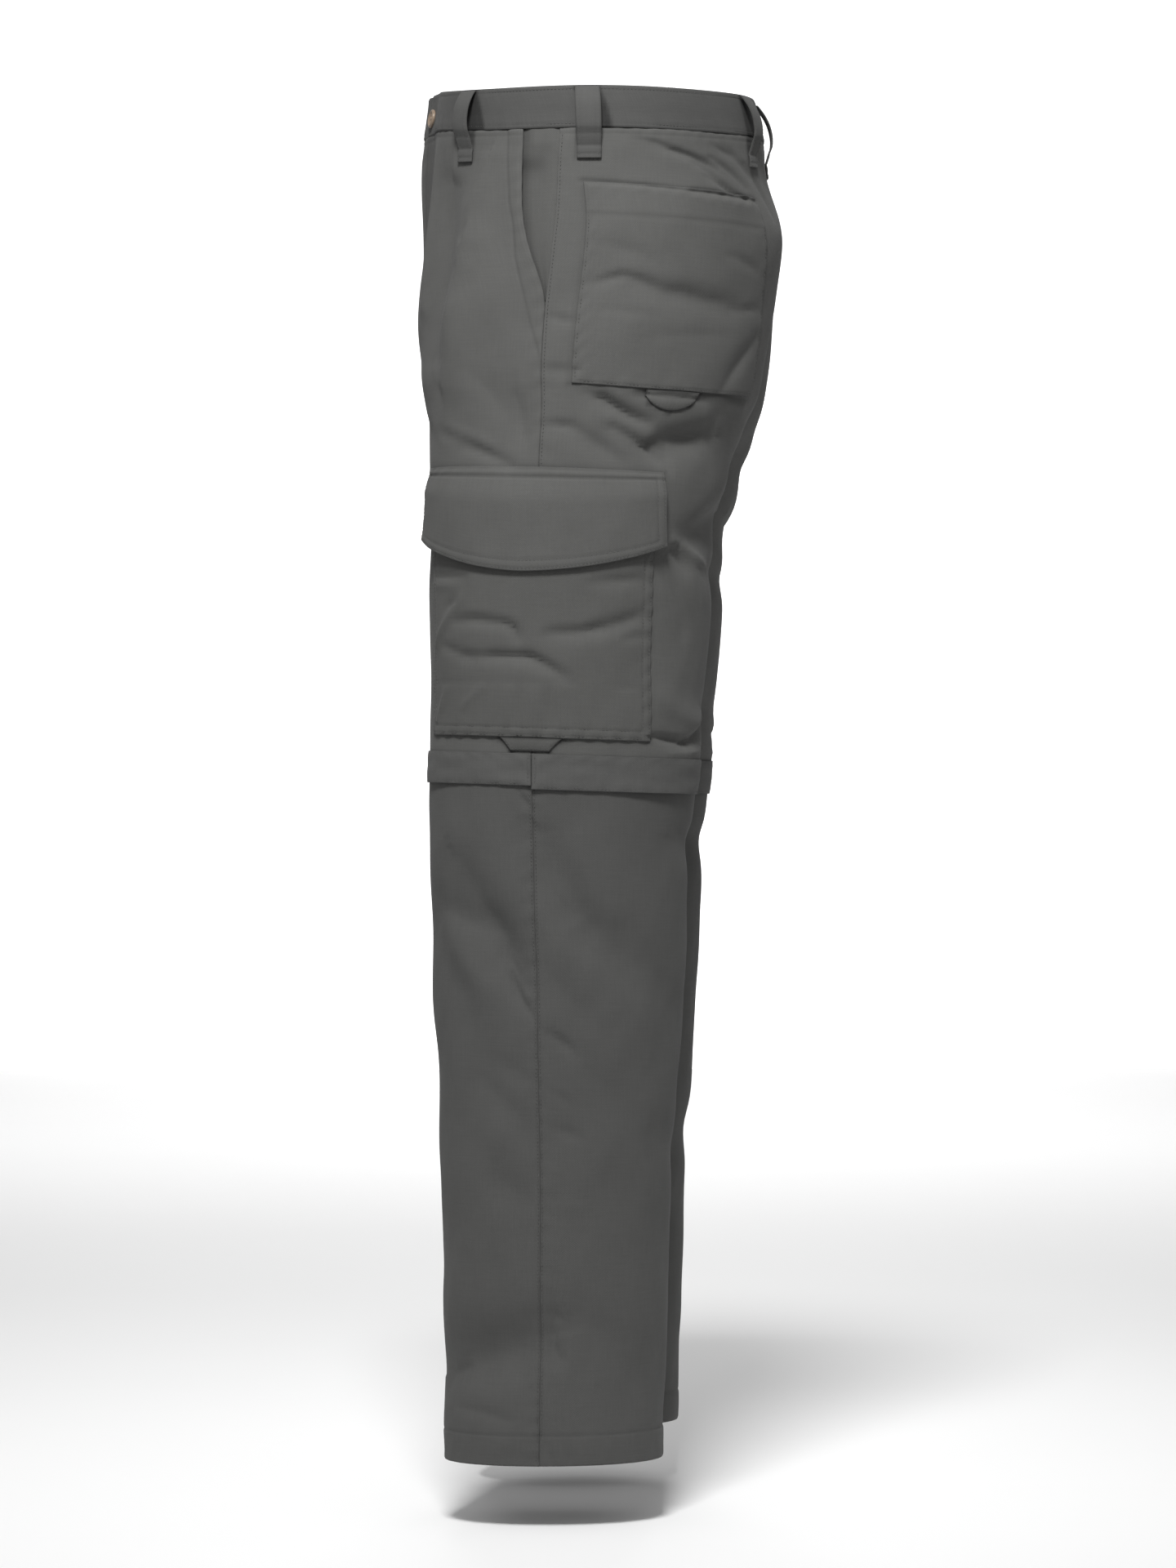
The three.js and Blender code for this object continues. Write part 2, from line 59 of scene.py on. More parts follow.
# worn sections of one leg with its half of the seat, hem first
sectionNames = ("z", "centre", "outer", "innerFront", "innerBack", "front", "back", "seam", "riseFront", "riseBack",
                "lean")
sections = np.array([
    (-1055, 115, 60, 59.5, 59.5, -104.6, 67, -4, 0, 0, 0),
    (-873, 111, 65.5, 63.5, 63.5, -106.4, 72.7, -4.5, 0, 0, 0.006),
    (-712, 108, 70.5, 68, 68, -112.6, 81.7, -6, 0, 0, 0.018),
    (-551, 105, 78, 74, 74, -117.4, 89.8, -8.5, 0, 0, 0.03),
    (-500, 103, 82, 77, 77, -117.5, 96, -10, 0, 0, 0.033),
    (-437, 101, 87, 81, 81, -116.5, 99.8, -10.5, 0, 0, 0.035),
    (-352, 99, 93, 88, 88, -117.4, 107.5, -11, 0, 0, 0.033),
    (-320, 98, 96, 92, 92, -117.4, 110.5, -11, 0, 0, 0.033),
    (-290, 96, 99.5, 96, 96, -117.5, 116, -11, 0, 0, 0.033),
    (-265, 88, 108, 94.5, 93, -118.5, 121.5, -11.3, 0, 0, 0.032),
    (-235, 79, 117, 112, 101, -123, 133, -11.6, 0, 0, 0.028),
    (-200, 68, 127, 170, 122, -131, 142, -12, 0, 0, 0.02),
    (-150, 52, 141, 230, 160, -135.5, 151, -13.3, 0, 0, 0.01),
    (-95, 34, 155, 240, 200, -135, 155, -14.3, 3, 2, 0),
    (-45, 12, 170, 200, 190, -134.5, 145, -13.3, 10, 6, 0),
    (-15.5, 2, 176, 176, 176, -133, 142, -12.8, 14, 8, 0),
    (0, 0, 175, 175, 175, -131, 139, -12.8, 12.5, 8, 0),
    (15.5, 0, 172, 172, 172, -129, 135, -12.8, 10.5, 8, 0),
])

# folds: angle, z, toAngle, toZ, bow, width towards the upper side, width towards the lower side, depth
foldTable = (
    (-38, -40, -47, -112, 2, 9, 18, 3.4),  # ridge of the front crease
    (-46.5, -106, -55, -212, -2, 8, 18, 4.4),
    (-57, -60, -63, -190, -2, 18, 11, -6.0),  # and the trough in front of it
    (-70, -20, -74, -150, 1, 7, 5, 2.0),  # edge of the fly
    (-52, -170, -60, -215, -2, 8, 9, -1.6),
    (-74, -170, -100, -250, 6, 14, 18, -2.4),
    (-92, -238, -68, -258, 4, 7, 12, -1.2),
    (-54, -249, -31, -265, 1, 4, 4, 1.0),  # above the flap
    (-62, -252, -50, -260, 0, 4, 5, -0.9),
    (-44, -265, -22, -280, 1, 4.5, 6, -2.2),
    (-21, -227, -17, -262, 0, 7, 7, -1.3),
    (-40, -206, -26, -238, 2, 9, 9, -0.9),
    (-11, -164, -4, -168, 0, 3, 5, -1.2),  # across the seam beside the back pocket
    (-11, -205, -2, -205, 0, 3, 5, -1.2),
    (-10, -247, 0, -249, 0, 3, 5, -1.4),
    (-6, -58, 30, -65, 0, 2.4, 2.4, -1.0),  # the mouth of the back pocket
    (28, -64.5, 57, -67.5, 0, 3, 3, -2.4),
    (18, -222, 46, -223, 0, 2.4, 3, -1.6),  # and its foot beside the tab
    (9, -22, 24, -32, 1, 3, 6, -2.2),  # below the waistband at the back
    (24, -32, 40, -45, 1, 3, 6, -2.8),
    (32, -42, 45, -62, 1, 3, 5, -2.2),
    (36, -52, 51, -67, 0, 2.5, 4, -1.6),
    (39, -25, 47, -33, 0, 2.5, 4, -1.6),
    (38, -36, 54, -57, 1, 2.5, 4, -1.8),
    (44, -24, 58, -48, 0, 3, 4, -1.2),
    (56, -40, 72, -75, 2, 4, 6, -1.6),
    (22, -36, 32, -46, 0, 4, 5, 0.8),
    (4, -223, 13, -232, 0, 3.5, 7, -1.8),  # below the back pocket
    (8, -226, 25, -243, -2, 4.5, 7, -5.0),
    (13, -248, 34, -272, 1, 4.5, 6, -4.4),
    (-2, -249, 18, -273, 0, 6, 9, -2.0),
    (33, -256, 54, -248, 0, 9, 15, -7.5),
    (47.5, -228, 51.5, -243, 0, 2.6, 2.6, 1.5),
    (31, -258, 39, -279, 3, 4, 5, -2.4),
    (60, -232, 92, -262, -3, 9, 13, -2.6),
    (84, -228, 120, -275, 6, 14, 16, -3.2),
    (55, -332, 95, -308, 0, 15, 27, -8.0),  # beside the flap
    (46, -332, 78, -351, -1, 5, 5, 2.4),
    (47, -341, 58, -355, 0, 5, 7, -2.2),
    (43, -360, 58, -402, 3, 6, 9, -1.8),
    (72, -352, 130, -366, 5, 10, 16, -3.0),
    (0, -137, 8, -131, 0, 3, 5, -1.8),  # on the back pocket
    (7, -132, 17, -138, 1, 3.5, 6, -2.2),
    (14, -139, 31, -144, 0, 7, 12, -2.8),
    (28, -144, 48, -150, 0, 8, 13, -2.9),
    (2, -107, 14, -117, 0, 6, 9, -1.1),
    (44, -112, 58, -120, 0, 4, 6, -1.2),
    (50, -152, 64, -149, 0, 4, 6, -1.3),
    (66, -172, 54, -212, 2, 8, 8, -2.8),
    (4, -158, 20, -161, 0, 3, 4, -0.7),
    (22, -176, 50, -172, 0, 4, 7, -0.5),
    (-47, -401, -22, -403, 2, 3.5, 6, -3.0),  # on the cargo pocket
    (-22, -402, -16.5, -415, 2, 3, 4, -2.6),
    (-57, -421, -40, -429, 0, 4, 6, -1.7),
    (-42, -428, -26, -429, 0, 4, 6, -1.9),
    (-28, -427, -11, -428, 0, 3.5, 6, -3.2),
    (-12, -427, 1, -442, 1, 4, 6, -3.4),
    (-4, -408, 14, -404, -1, 4, 7, -2.9),
    (12, -404, 32, -392, -1, 6, 8, -3.0),
    (25, -411, 34, -408, 0, 3, 4, -1.5),
    (-45, -384, -64, -419, 0, 4, 4, 1.9),
    (-56, -391, -47, -385, 0, 3, 3, -1.2),
    (-64, -373, -48, -374, 0, 4, 4, 1.1),
    (-66, -366, -43, -367, 0, 3, 4, -1.6),
    (12, -368, 32, -364, 0, 4, 6, -1.7),
    (-42, -468, -33, -452, 0, 4, 4, 1.3),
    (-63, -478, -55, -455, 0, 4, 4, 1.3),
    (-20, -454, -20, -484, 0, 2.6, 2.6, 0.9),
    (-16, -450, -16, -482, 0, 2.6, 2.6, -0.8),
    (-9.5, -455, -9.5, -484, 0, 3, 3, 0.8),
    (-3, -450, -3, -482, 0, 2.6, 2.6, -1.0),
    (5, -452, 8, -475, 0, 4, 4, 0.7),
    (-66, -450, 5, -447, 0, 1.8, 1.8, -0.4),
    (22, -449, 33, -449, 0, 1.8, 1.8, -0.4),
    (42, -486, 66, -490, 0, 3.5, 7, -5.0),  # above the zip, at the back of the knee
    (64, -489, 88, -475, -2, 4, 8, -5.0),
    (54, -499, 86, -496, 0, 4, 4, 1.6),
    (46, -458, 84, -472, -6, 12, 10, 2.2),
    (90, -462, 150, -478, 5, 12, 15, -2.4),
    (66, -566, 140, -586, 5, 14, 18, -3.6),  # lower leg
    (-47, -590, -22, -652, 0, 16, 24, -4.4),
    (-26, -634, -9.5, -692, 0, 12, 16, -3.0),
    (-64, -622, -30, -640, 0, 14, 10, -2.4),
    (-62, -640, -32, -684, 0, 12, 14, 2.0),
    (-18.5, -676, -8, -706, -1, 3, 5, -2.4),
    (-4, -568, 14, -634, -2, 14, 20, -4.4),
    (12, -630, 32, -667, 0, 15, 20, -3.8),
    (-4, -625, 26, -700, 0, 14, 14, 1.8),
    (-4, -668, 12, -702, 0, 8, 12, -1.0),
    (0, -719, 9, -731, 0, 3, 7, -2.2),
    (-15, -531, -9, -546, 0, 2.5, 4, -1.8),
    (-24, -742, -8, -756, 0, 8, 12, -1.2),
    (-26, -838, -5, -850, 0, 14, 14, -1.4),
    (1, -765, 8, -772, 0, 3, 5, -0.9),
    (1, -853, 22, -856, 0, 3, 3, 0.5),
    (-66, -640, -34, -742, 4, 16, 22, -2.4),
    (34, -640, 70, -700, -4, 15, 20, -2.4),
    (-30, -760, -12, -790, 0, 10, 14, -1.8),
    (14, -742, 40, -800, 4, 14, 18, -1.8),
    (2, -792, 14, -800, 0, 4, 6, -1.2),
    (-40, -810, -14, -870, 5, 16, 18, -1.6),
    (60, -800, 120, -830, 4, 18, 22, -2.6),
    (-70, -984, -6, -958, -2, 28, 22, -10.0),  # above the hem, low at the front
    (-72, -988, -56, -982, 0, 6, 8, -1.6),
    (-60, -1012, -20, -1020, 2, 8, 6, -1.6),
    (2, -905, 2, -975, 0, 7, 7, -1.4),
    (1, -934, 7, -943, 0, 4, 5, -0.9),
    (1, -961, 7, -975, 0, 4, 5, -1.0),
    (14, -940, 46, -985, 4, 16, 18, -1.8),
    (150, -930, 200, -990, 5, 16, 20, -2.6),
    (-120, -640, -150, -720, 5, 14, 18, -2.4),
    (110, -880, 160, -930, 4, 16, 18, -2.2),
)

# dark lines beside the patches: angle, z, toAngle, toZ, width, strength
shadeTable = (
    (-5, -56.5, 30, -63.5, 1.8, 0.9),
    (28, -63.5, 57, -66, 2.6, 2.2),
    (-6, -58, -2.6, -216, 1.6, 0.45),
    (-3, -216.5, 78, -220, 2.0, 0.9),
    (19, -219.5, 72, -221.5, 2.8, 2.0),
    (57.5, -66, 76.5, -217, 1.6, 0.4),
    (-77, -279.8, 37, -279.8, 1.7, 0.8),
    (37.3, -281, 41.2, -336, 1.7, 0.5),
    (-70.7, -330, -70.7, -490, 1.6, 0.5),
    (35.3, -300, 41, -490, 1.6, 0.4),
    (-70, -491.6, 40, -491.6, 2.0, 1.2),
    (-25, -492.5, 2.5, -492.5, 2.6, 1.4),
    (-24.2, -491, -19, -501.4, 1.6, 2.2),  # round the tabs
    (-19, -501.5, -3, -501.5, 1.5, 2.2),
    (-3, -501.4, 1.8, -491, 1.6, 1.6),
    (22, -219, 24.5, -229, 1.6, 2.4),
    (24.5, -229, 32, -234.3, 1.6, 2.4),
    (32, -234.3, 40, -229, 1.6, 2.0),
    (40, -229, 42.6, -219, 1.6, 2.0),
)


def lerp(a, b, t):
    return a + (b - a) * t


def smooth(low, high, x):
    # cubic step from 0 at low to 1 at high
    t = np.clip((np.asarray(x, float) - low) / (high - low), 0, 1)
    return t * t * (3 - 2 * t)


def bell(x, width):
    return np.exp(-(x / width) ** 2)


levels = sections[:, 0]
spans = np.diff(levels)
rises = np.diff(sections, axis=0) / spans[:, None]
slopes = np.vstack([rises[:1], np.zeros((len(levels) - 2, len(sectionNames))), rises[-1:]])
below, above = rises[:-1], rises[1:]
sameWay = below * above > 0
spanPair = (spans[:-1] + spans[1:])[:, None]
belowSafe, aboveSafe = np.where(sameWay, below, 1), np.where(sameWay, above, 1)
safe = np.where(sameWay, spans[:-1, None] / belowSafe + spans[1:, None] / aboveSafe, 1)
slopes[1:-1] = np.where(sameWay, spanPair / safe, 0)


def section(name, z):
    # monotone cubic through one column of the section table
    k = sectionNames.index(name)
    z = np.clip(np.asarray(z, float), levels[0], levels[-1])
    i = np.clip(np.searchsorted(levels, z, side="right") - 1, 0, len(levels) - 2)
    t = (z - levels[i]) / spans[i]
    low, high = sections[i, k], sections[i + 1, k]
    lowSlope, highSlope = slopes[i, k] * spans[i], slopes[i + 1, k] * spans[i]
    return ((2 * t**3 - 3 * t**2 + 1) * low + (t**3 - 2 * t**2 + t) * lowSlope + (3 * t**2 - 2 * t**3) * high
            + (t**3 - t**2) * highSlope)


def signedPower(value, power):
    return np.sign(value) * np.abs(value) ** power


def angleAtX(x, z, isFront):
    # the section's angle where it stands x from the centre plane
    reach = x - section("centre", z)
    inner = section("innerFront" if isFront else "innerBack", z)
    part = np.clip(reach / np.where(reach > 0, section("outer", z), inner), -1, 1)
    angle = np.degrees(np.arccos(signedPower(part, cloth["squareness"] / 2)))
    return -angle if isFront else angle


def centreAngle(z, isFront):
    hairline = np.degrees(np.arcsin((cloth["gap"] / 180) ** (cloth["squareness"] / 2)))
    angle = np.minimum(np.abs(angleAtX(cloth["gap"] / 2, z, isFront)), 180 - hairline)
    return -angle if isFront else angle


frontTurn = {"deep": 9, "from": -18, "to": 30, "reach": 70, "full": -70, "end": -200}


def turnAt(x, z):
    # how far the left front stands back from the right one beside the fly
    fade = np.exp(-(np.maximum(x, 0) / frontTurn["reach"]) ** 2) * smooth(frontTurn["end"], frontTurn["full"], z)
    return frontTurn["deep"] * smooth(frontTurn["from"], frontTurn["to"], x) * fade


def softNoise(p, q, size, seed):
    # six sine waves of about the given length in seeded directions, summed and scaled to about -1 to 1
    draw = np.random.default_rng(seed)
    total = 0
    for turn, stretch, phase in zip(draw.uniform(0, 2 * pi, 6), draw.uniform(0.7, 1.5, 6), draw.uniform(0, 2 * pi, 6)):
        total = total + np.sin((p * np.cos(turn) + q * np.sin(turn)) * 2 * pi / (size * stretch) + phase)
    return total / 3


def alongLine(hereX, hereZ, runX, runZ):
    # how far along a line a place lies, from 0 to 1, its distance from the line, and the line's length
    length = np.hypot(runX, runZ)
    return (hereX * runX + hereZ * runZ) / length**2, (hereZ * runX - hereX * runZ) / length, length


def foldRelief(side, angle, z):
    # each fold is a bell across a bowed line, faded past its ends; the right leg's folds sit a little elsewhere
    if side < 0:
        angle, z = angle + 2.5 * np.sin(z / 70), z + 8 * np.sin(angle / 40 + 1)
    total = 0
    for startAngle, startZ, endAngle, endZ, bow, upWide, downWide, depth in foldTable:
        runX, runZ = (endAngle - startAngle) * cloth["perDegree"], endZ - startZ
        hereX = ((angle - startAngle + 180) % 360 - 180) * cloth["perDegree"]
        along, across, length = alongLine(hereX, z - startZ, runX, runZ)
        inside = np.clip(along, 0, 1)
        across = across * (1 if runX >= 0 else -1) - bow * 4 * inside * (1 - inside)
        past = (along - inside) * length
        wide = np.where(across > 0, upWide, downWide)
        sharp = 0.3 * smooth(13, 6, wide)  # wide folds are soft, narrow ones have a sharper core
        profile = (1 - sharp) * bell(across, wide) + sharp * bell(across, 0.4 * wide)
        total = total + depth * profile * bell(past, 0.9 * wide) * (0.55 + 0.45 * np.sin(pi * inside))
    return cloth["foldStrength"] * total


def seamShade(angle, z):
    # the dark line where the cloth under a patch meets its edge
    total = 0
    for startAngle, startZ, endAngle, endZ, wide, strength in shadeTable:
        runX, runZ = (endAngle - startAngle) * cloth["perDegree"], endZ - startZ
        along, across, length = alongLine((angle - startAngle) * cloth["perDegree"], z - startZ, runX, runZ)
        past = (along - np.clip(along, 0, 1)) * length
        total = total - strength * bell(across, wide) * bell(past, 2)
    return total


def relief(side, angle, z, x):
    # folds, slow swells and small unevenness, smooth at the waistband, the zip, the hem and the centre seams
    run = angle * cloth["perDegree"]
    held = 1 - 0.85 * bell(z + 518, 26)
    atCentre = lerp(1, smooth(0, 26, x), smooth(-300, -270, z))
    free = smooth(18, 34, -z) * smooth(leg["hem"], leg["hem"] + 18, z) * atCentre
    swells = 0.9 * softNoise(run, z, 95, 11 + side) + 0.32 * softNoise(run, z * 0.8, 33, 23 + side)
    return (foldRelief(side, angle, z) + swells * smooth(180, 158, np.abs(angle))) * held * free


def place(side, angle, z, off):
    # the rounded section's point at an angle, moved out along its normal by off and the relief
    angle, z, off = np.broadcast_arrays(np.asarray(angle, float), np.asarray(z, float), np.asarray(off, float))
    c, s = np.cos(np.radians(angle)), np.sin(np.radians(angle))
    inner = np.where(s < 0, section("innerFront", z), section("innerBack", z))
    across = np.where(c > 0, section("outer", z), inner)
    front, back = section("front", z), section("back", z)
    deep = (back - front) / 2
    power = 2 / cloth["squareness"]
    normalX, normalY = signedPower(c, 2 - power) / across, signedPower(s, 2 - power) / deep
    size = np.hypot(normalX, normalY)
    bare = section("centre", z) + across * signedPower(c, power)
    out = off + relief(side, angle, z, bare)
    x = np.maximum(bare + out * normalX / size, cloth["gap"] / 2)
    y = (back + front) / 2 + deep * signedPower(s, power) + out * normalY / size
    y = y + np.where(s < 0, turnAt(side * x, z), 0)
    rise = np.where(s < 0, section("riseFront", z), section("riseBack", z)) * s**4
    shift = cloth["stride"] * smooth(20, 250, -z) * side * x
    return np.stack([side * x, y - shift, z + rise - section("lean", z) * y], -1)


def warp(count, ends=0.6):
    # places from 0 to 1 that crowd towards both ends
    t = np.linspace(0, 1, count)
    return t - ends * np.sin(2 * pi * t) / (2 * pi)


def runAcross(points):
    # distance along each row of a grid, from its first column
    step = np.linalg.norm(np.diff(points, axis=1), axis=2)
    return np.hstack([np.zeros((len(points), 1)), np.cumsum(step, axis=1)])


def addMesh(name, points, faces, material, uv=None, shadeAndTone=None):
    mesh = bpy.data.meshes.new(name)
    mesh.from_pydata((points * metre).tolist(), [], faces)
    mesh.polygons.foreach_set("use_smooth", np.ones(len(mesh.polygons), bool))
    corners = np.empty(len(mesh.loops), np.int32)
    mesh.loops.foreach_get("vertex_index", corners)
    if uv is not None:
        layer = mesh.uv_layers.new(name="weave")
        layer.data.foreach_set("uv", (uv[corners] * metre).ravel())
    # the point attribute tones the cloth colour: mostly painted shade along edges, seams and sewn rows and under
    # patches and loops, with a few lighter bands and flat tone shifts
    attribute = mesh.attributes.new("shadeAndTone", "FLOAT", "POINT")
    attribute.data.foreach_set("value", np.zeros(len(points)) if shadeAndTone is None else shadeAndTone)
    mesh.update()
    piece = bpy.data.objects.new(name, mesh)
    bpy.context.collection.objects.link(piece)
    mesh.materials.append(material)
    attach(piece, "root")
    return piece


def quadsOf(index):
    return np.stack([index[:-1, :-1], index[:-1, 1:], index[1:, 1:], index[1:, :-1]], -1).reshape(-1, 4)


def makeShell(name, outer, inner, material, ring=False, uv=None, shadeAndTone=None):
    # closed wall between two grids; the rim bulges by a part of the thickness so that edges look turned
    rows, columns = outer.shape[:2]
    index = np.arange(rows * columns).reshape(rows, columns)
    if ring:
        index = np.hstack([index, index[:, :1]])
        rims = [(index[0, :-1], index[1, :-1]), (index[-1, :-1][::-1], index[-2, :-1][::-1])]
    else:
        edge = np.concatenate([index[0, :-1], index[:-1, -1], index[-1, :0:-1], index[:0:-1, 0]])
        nextIn = np.concatenate([index[1, :-1], index[:-1, -2], index[-2, :0:-1], index[:0:-1, 1]])
        rims = [(edge, nextIn)]
    flatOuter, flatInner = outer.reshape(-1, 3), inner.reshape(-1, 3)
    count = len(flatOuter)
    points, quads = [flatOuter, flatInner], [quadsOf(index), quadsOf(index)[:, ::-1] + count]
    total = 2 * count
    uvAll, shadeToneAll = [], []
    grid = np.zeros((count, 2)) if uv is None else uv.reshape(-1, 2)
    shadeTone = np.zeros(count) if shadeAndTone is None else shadeAndTone.ravel()
    uvAll += [grid, grid]
    shadeToneAll += [shadeTone, shadeTone * 0]
    for edge, nextIn in rims:
        middle = (flatOuter[edge] + flatInner[edge]) / 2
        away = flatOuter[edge] - flatOuter[nextIn]
        away /= np.linalg.norm(away, axis=1)[:, None] + 1e-9
        thick = np.linalg.norm(flatOuter[edge] - flatInner[edge], axis=1)[:, None]
        points.append(middle + away * np.minimum(thick * cloth["rimBulge"], cloth["gap"] * 0.4))
        ringIndex = total + np.arange(len(edge))
        after, ringAfter = np.roll(edge, -1), np.roll(ringIndex, -1)
        quads.append(np.stack([edge, ringIndex, ringAfter, after], -1))
        quads.append(np.stack([ringIndex, edge + count, after + count, ringAfter], -1))
        uvAll.append(grid[edge])
        # the rim is painted darker, as painted shade along the cut edge
        shadeToneAll.append(shadeTone[edge] - 0.4)
        total += len(edge)
    points, quads = np.vstack(points), np.vstack(quads)
    a, b, c, d = (points[quads[:, k]] for k in range(4))
    volume = np.sum(a * np.cross(b, c)) + np.sum(a * np.cross(c, d))
    if volume < 0:
        quads = quads[:, ::-1]
    return addMesh(name, points, quads.tolist(), material, np.vstack(uvAll), np.concatenate(shadeToneAll))


threads = {}  # sewn rows by owner


def sew(owner, side, angle, z, off, pitch=3.0, length=2.2, radius=0.3):
    # stitches along a line of the garment: each a small pointed bar, laid on at even steps
    base, lifted = place(side, angle, z, off), place(side, angle, z, np.asarray(off) + 1)
    run = np.concatenate([[0], np.cumsum(np.linalg.norm(np.diff(base, axis=0), axis=1))])
    at = np.arange(0.5, int(run[-1] / pitch)) * pitch
    if len(at) == 0:
        return
    read = lambda line, where: np.stack([np.interp(where, run, line[:, k]) for k in range(3)], -1)
    middle, along = read(base, at), read(base, at + 0.6) - read(base, at - 0.6)
    up = read(lifted, at) - middle
    along /= np.linalg.norm(along, axis=1)[:, None]
    up /= np.linalg.norm(up, axis=1)[:, None]
    aside = np.cross(up, along)
    shape = [(-0.5, 0, -0.6)] + [(0, np.cos(t), np.sin(t)) for t in (0, pi / 2, pi, 3 * pi / 2)] + [(0.5, 0, -0.6)]
    bar = np.array(shape)
    points = (middle[:, None] + along[:, None] * (bar[None, :, :1] * length)
              + aside[:, None] * (bar[None, :, 1:2] * radius) + up[:, None] * (bar[None, :, 2:] * radius))
    threads.setdefault(owner, []).append(points.reshape(-1, 3))


def makeThreads(material):
    caps = [(0, 1 + k, 1 + (k + 1) % 4) for k in range(4)] + [(5, 1 + (k + 1) % 4, 1 + k) for k in range(4)]
    for owner, parts in threads.items():
        points = np.vstack(parts)
        starts = range(0, len(points), 6)
        faces = [tuple(v + start for v in face) for start in starts for face in caps]
        addMesh("thread_" + owner, points, faces, material)


def pucker(distance, run, seed, height=0.4, reach=10):
    # slanting ripples beside a seam, uneven in length and height, dying away from it
    wave = np.sin(2 * pi * (run + 0.4 * distance) / 15 + 1.8 * np.sin(run / 41 + seed) + seed)
    uneven = 0.55 + 0.45 * np.sin(run / 67 + 2 * seed)
    return height * wave * uneven * bell(distance, reach)


def edgeForm(distance, rows, roll=0.7):
    # a turned edge rolls in, each sewn row sinks a little, and the cloth stands up between them
    form = -roll * bell(distance, 0.8)
    for row in rows:
        form = form - cloth["groove"] * bell(distance - row, 1.0)
    return form


def edgeShadeTone(distance, rows):
    # painted shade at the turned edge and in each sewn row, and a slightly lighter band just inside the edge
    shadeTone = 0.12 * bell(distance - 1.4, 1.2) - 0.9 * bell(distance, 0.7)
    for row in rows:
        shadeTone = shadeTone - 0.5 * bell(distance - row, 0.9)
    return shadeTone


# the slant pocket's opening edge and sewn row, the fly, and the rows beside the seams
slant = {"top": -25, "end": -160, "lift": 1.2}
slantRow = np.array([(-196, -12.6), (-173.5, -16.4), (-146, -20.8), (-116.5, -25.8), (-73, -29.6), (-18, -30.8)])
flySet = {"wide": 37, "foot": -176, "row": 6, "lift": 0.9}
seamRows = {"side": (1.8,), "inseam": (2.0,)}


def slantAngle(z):
    return slant["top"] + (section("seam", z) - slant["top"]) * smooth(70, -slant["end"], -z) ** 1.2


def flyEdge(z):
    # the sewn J on the left front: straight down, then round to the centre
    down = np.clip((z - flySet["foot"]) / 42, 0, 1)
    return flySet["wide"] * np.sqrt(np.clip(1 - (1 - down) ** 2, 0, 1))


def loopShade(angle, z, across):
    # the shade that each belt loop throws under itself, and beside its foot
    shade = 0
    for at in loop["places"].values():
        if angle[0].min() < at < angle[0].max():
            order = np.argsort(angle[0])
            middle = np.interp(at, angle[0][order], across[0][order])
            near = np.abs(across - middle) - loop["wide"] / 2
            dark = lerp(1.2 * bell(near, 1.4), 2.8 * smooth(3, -1, near), smooth(-32, -24, z))
            shade = shade - dark * smooth(-44, -38, z)
    return shade


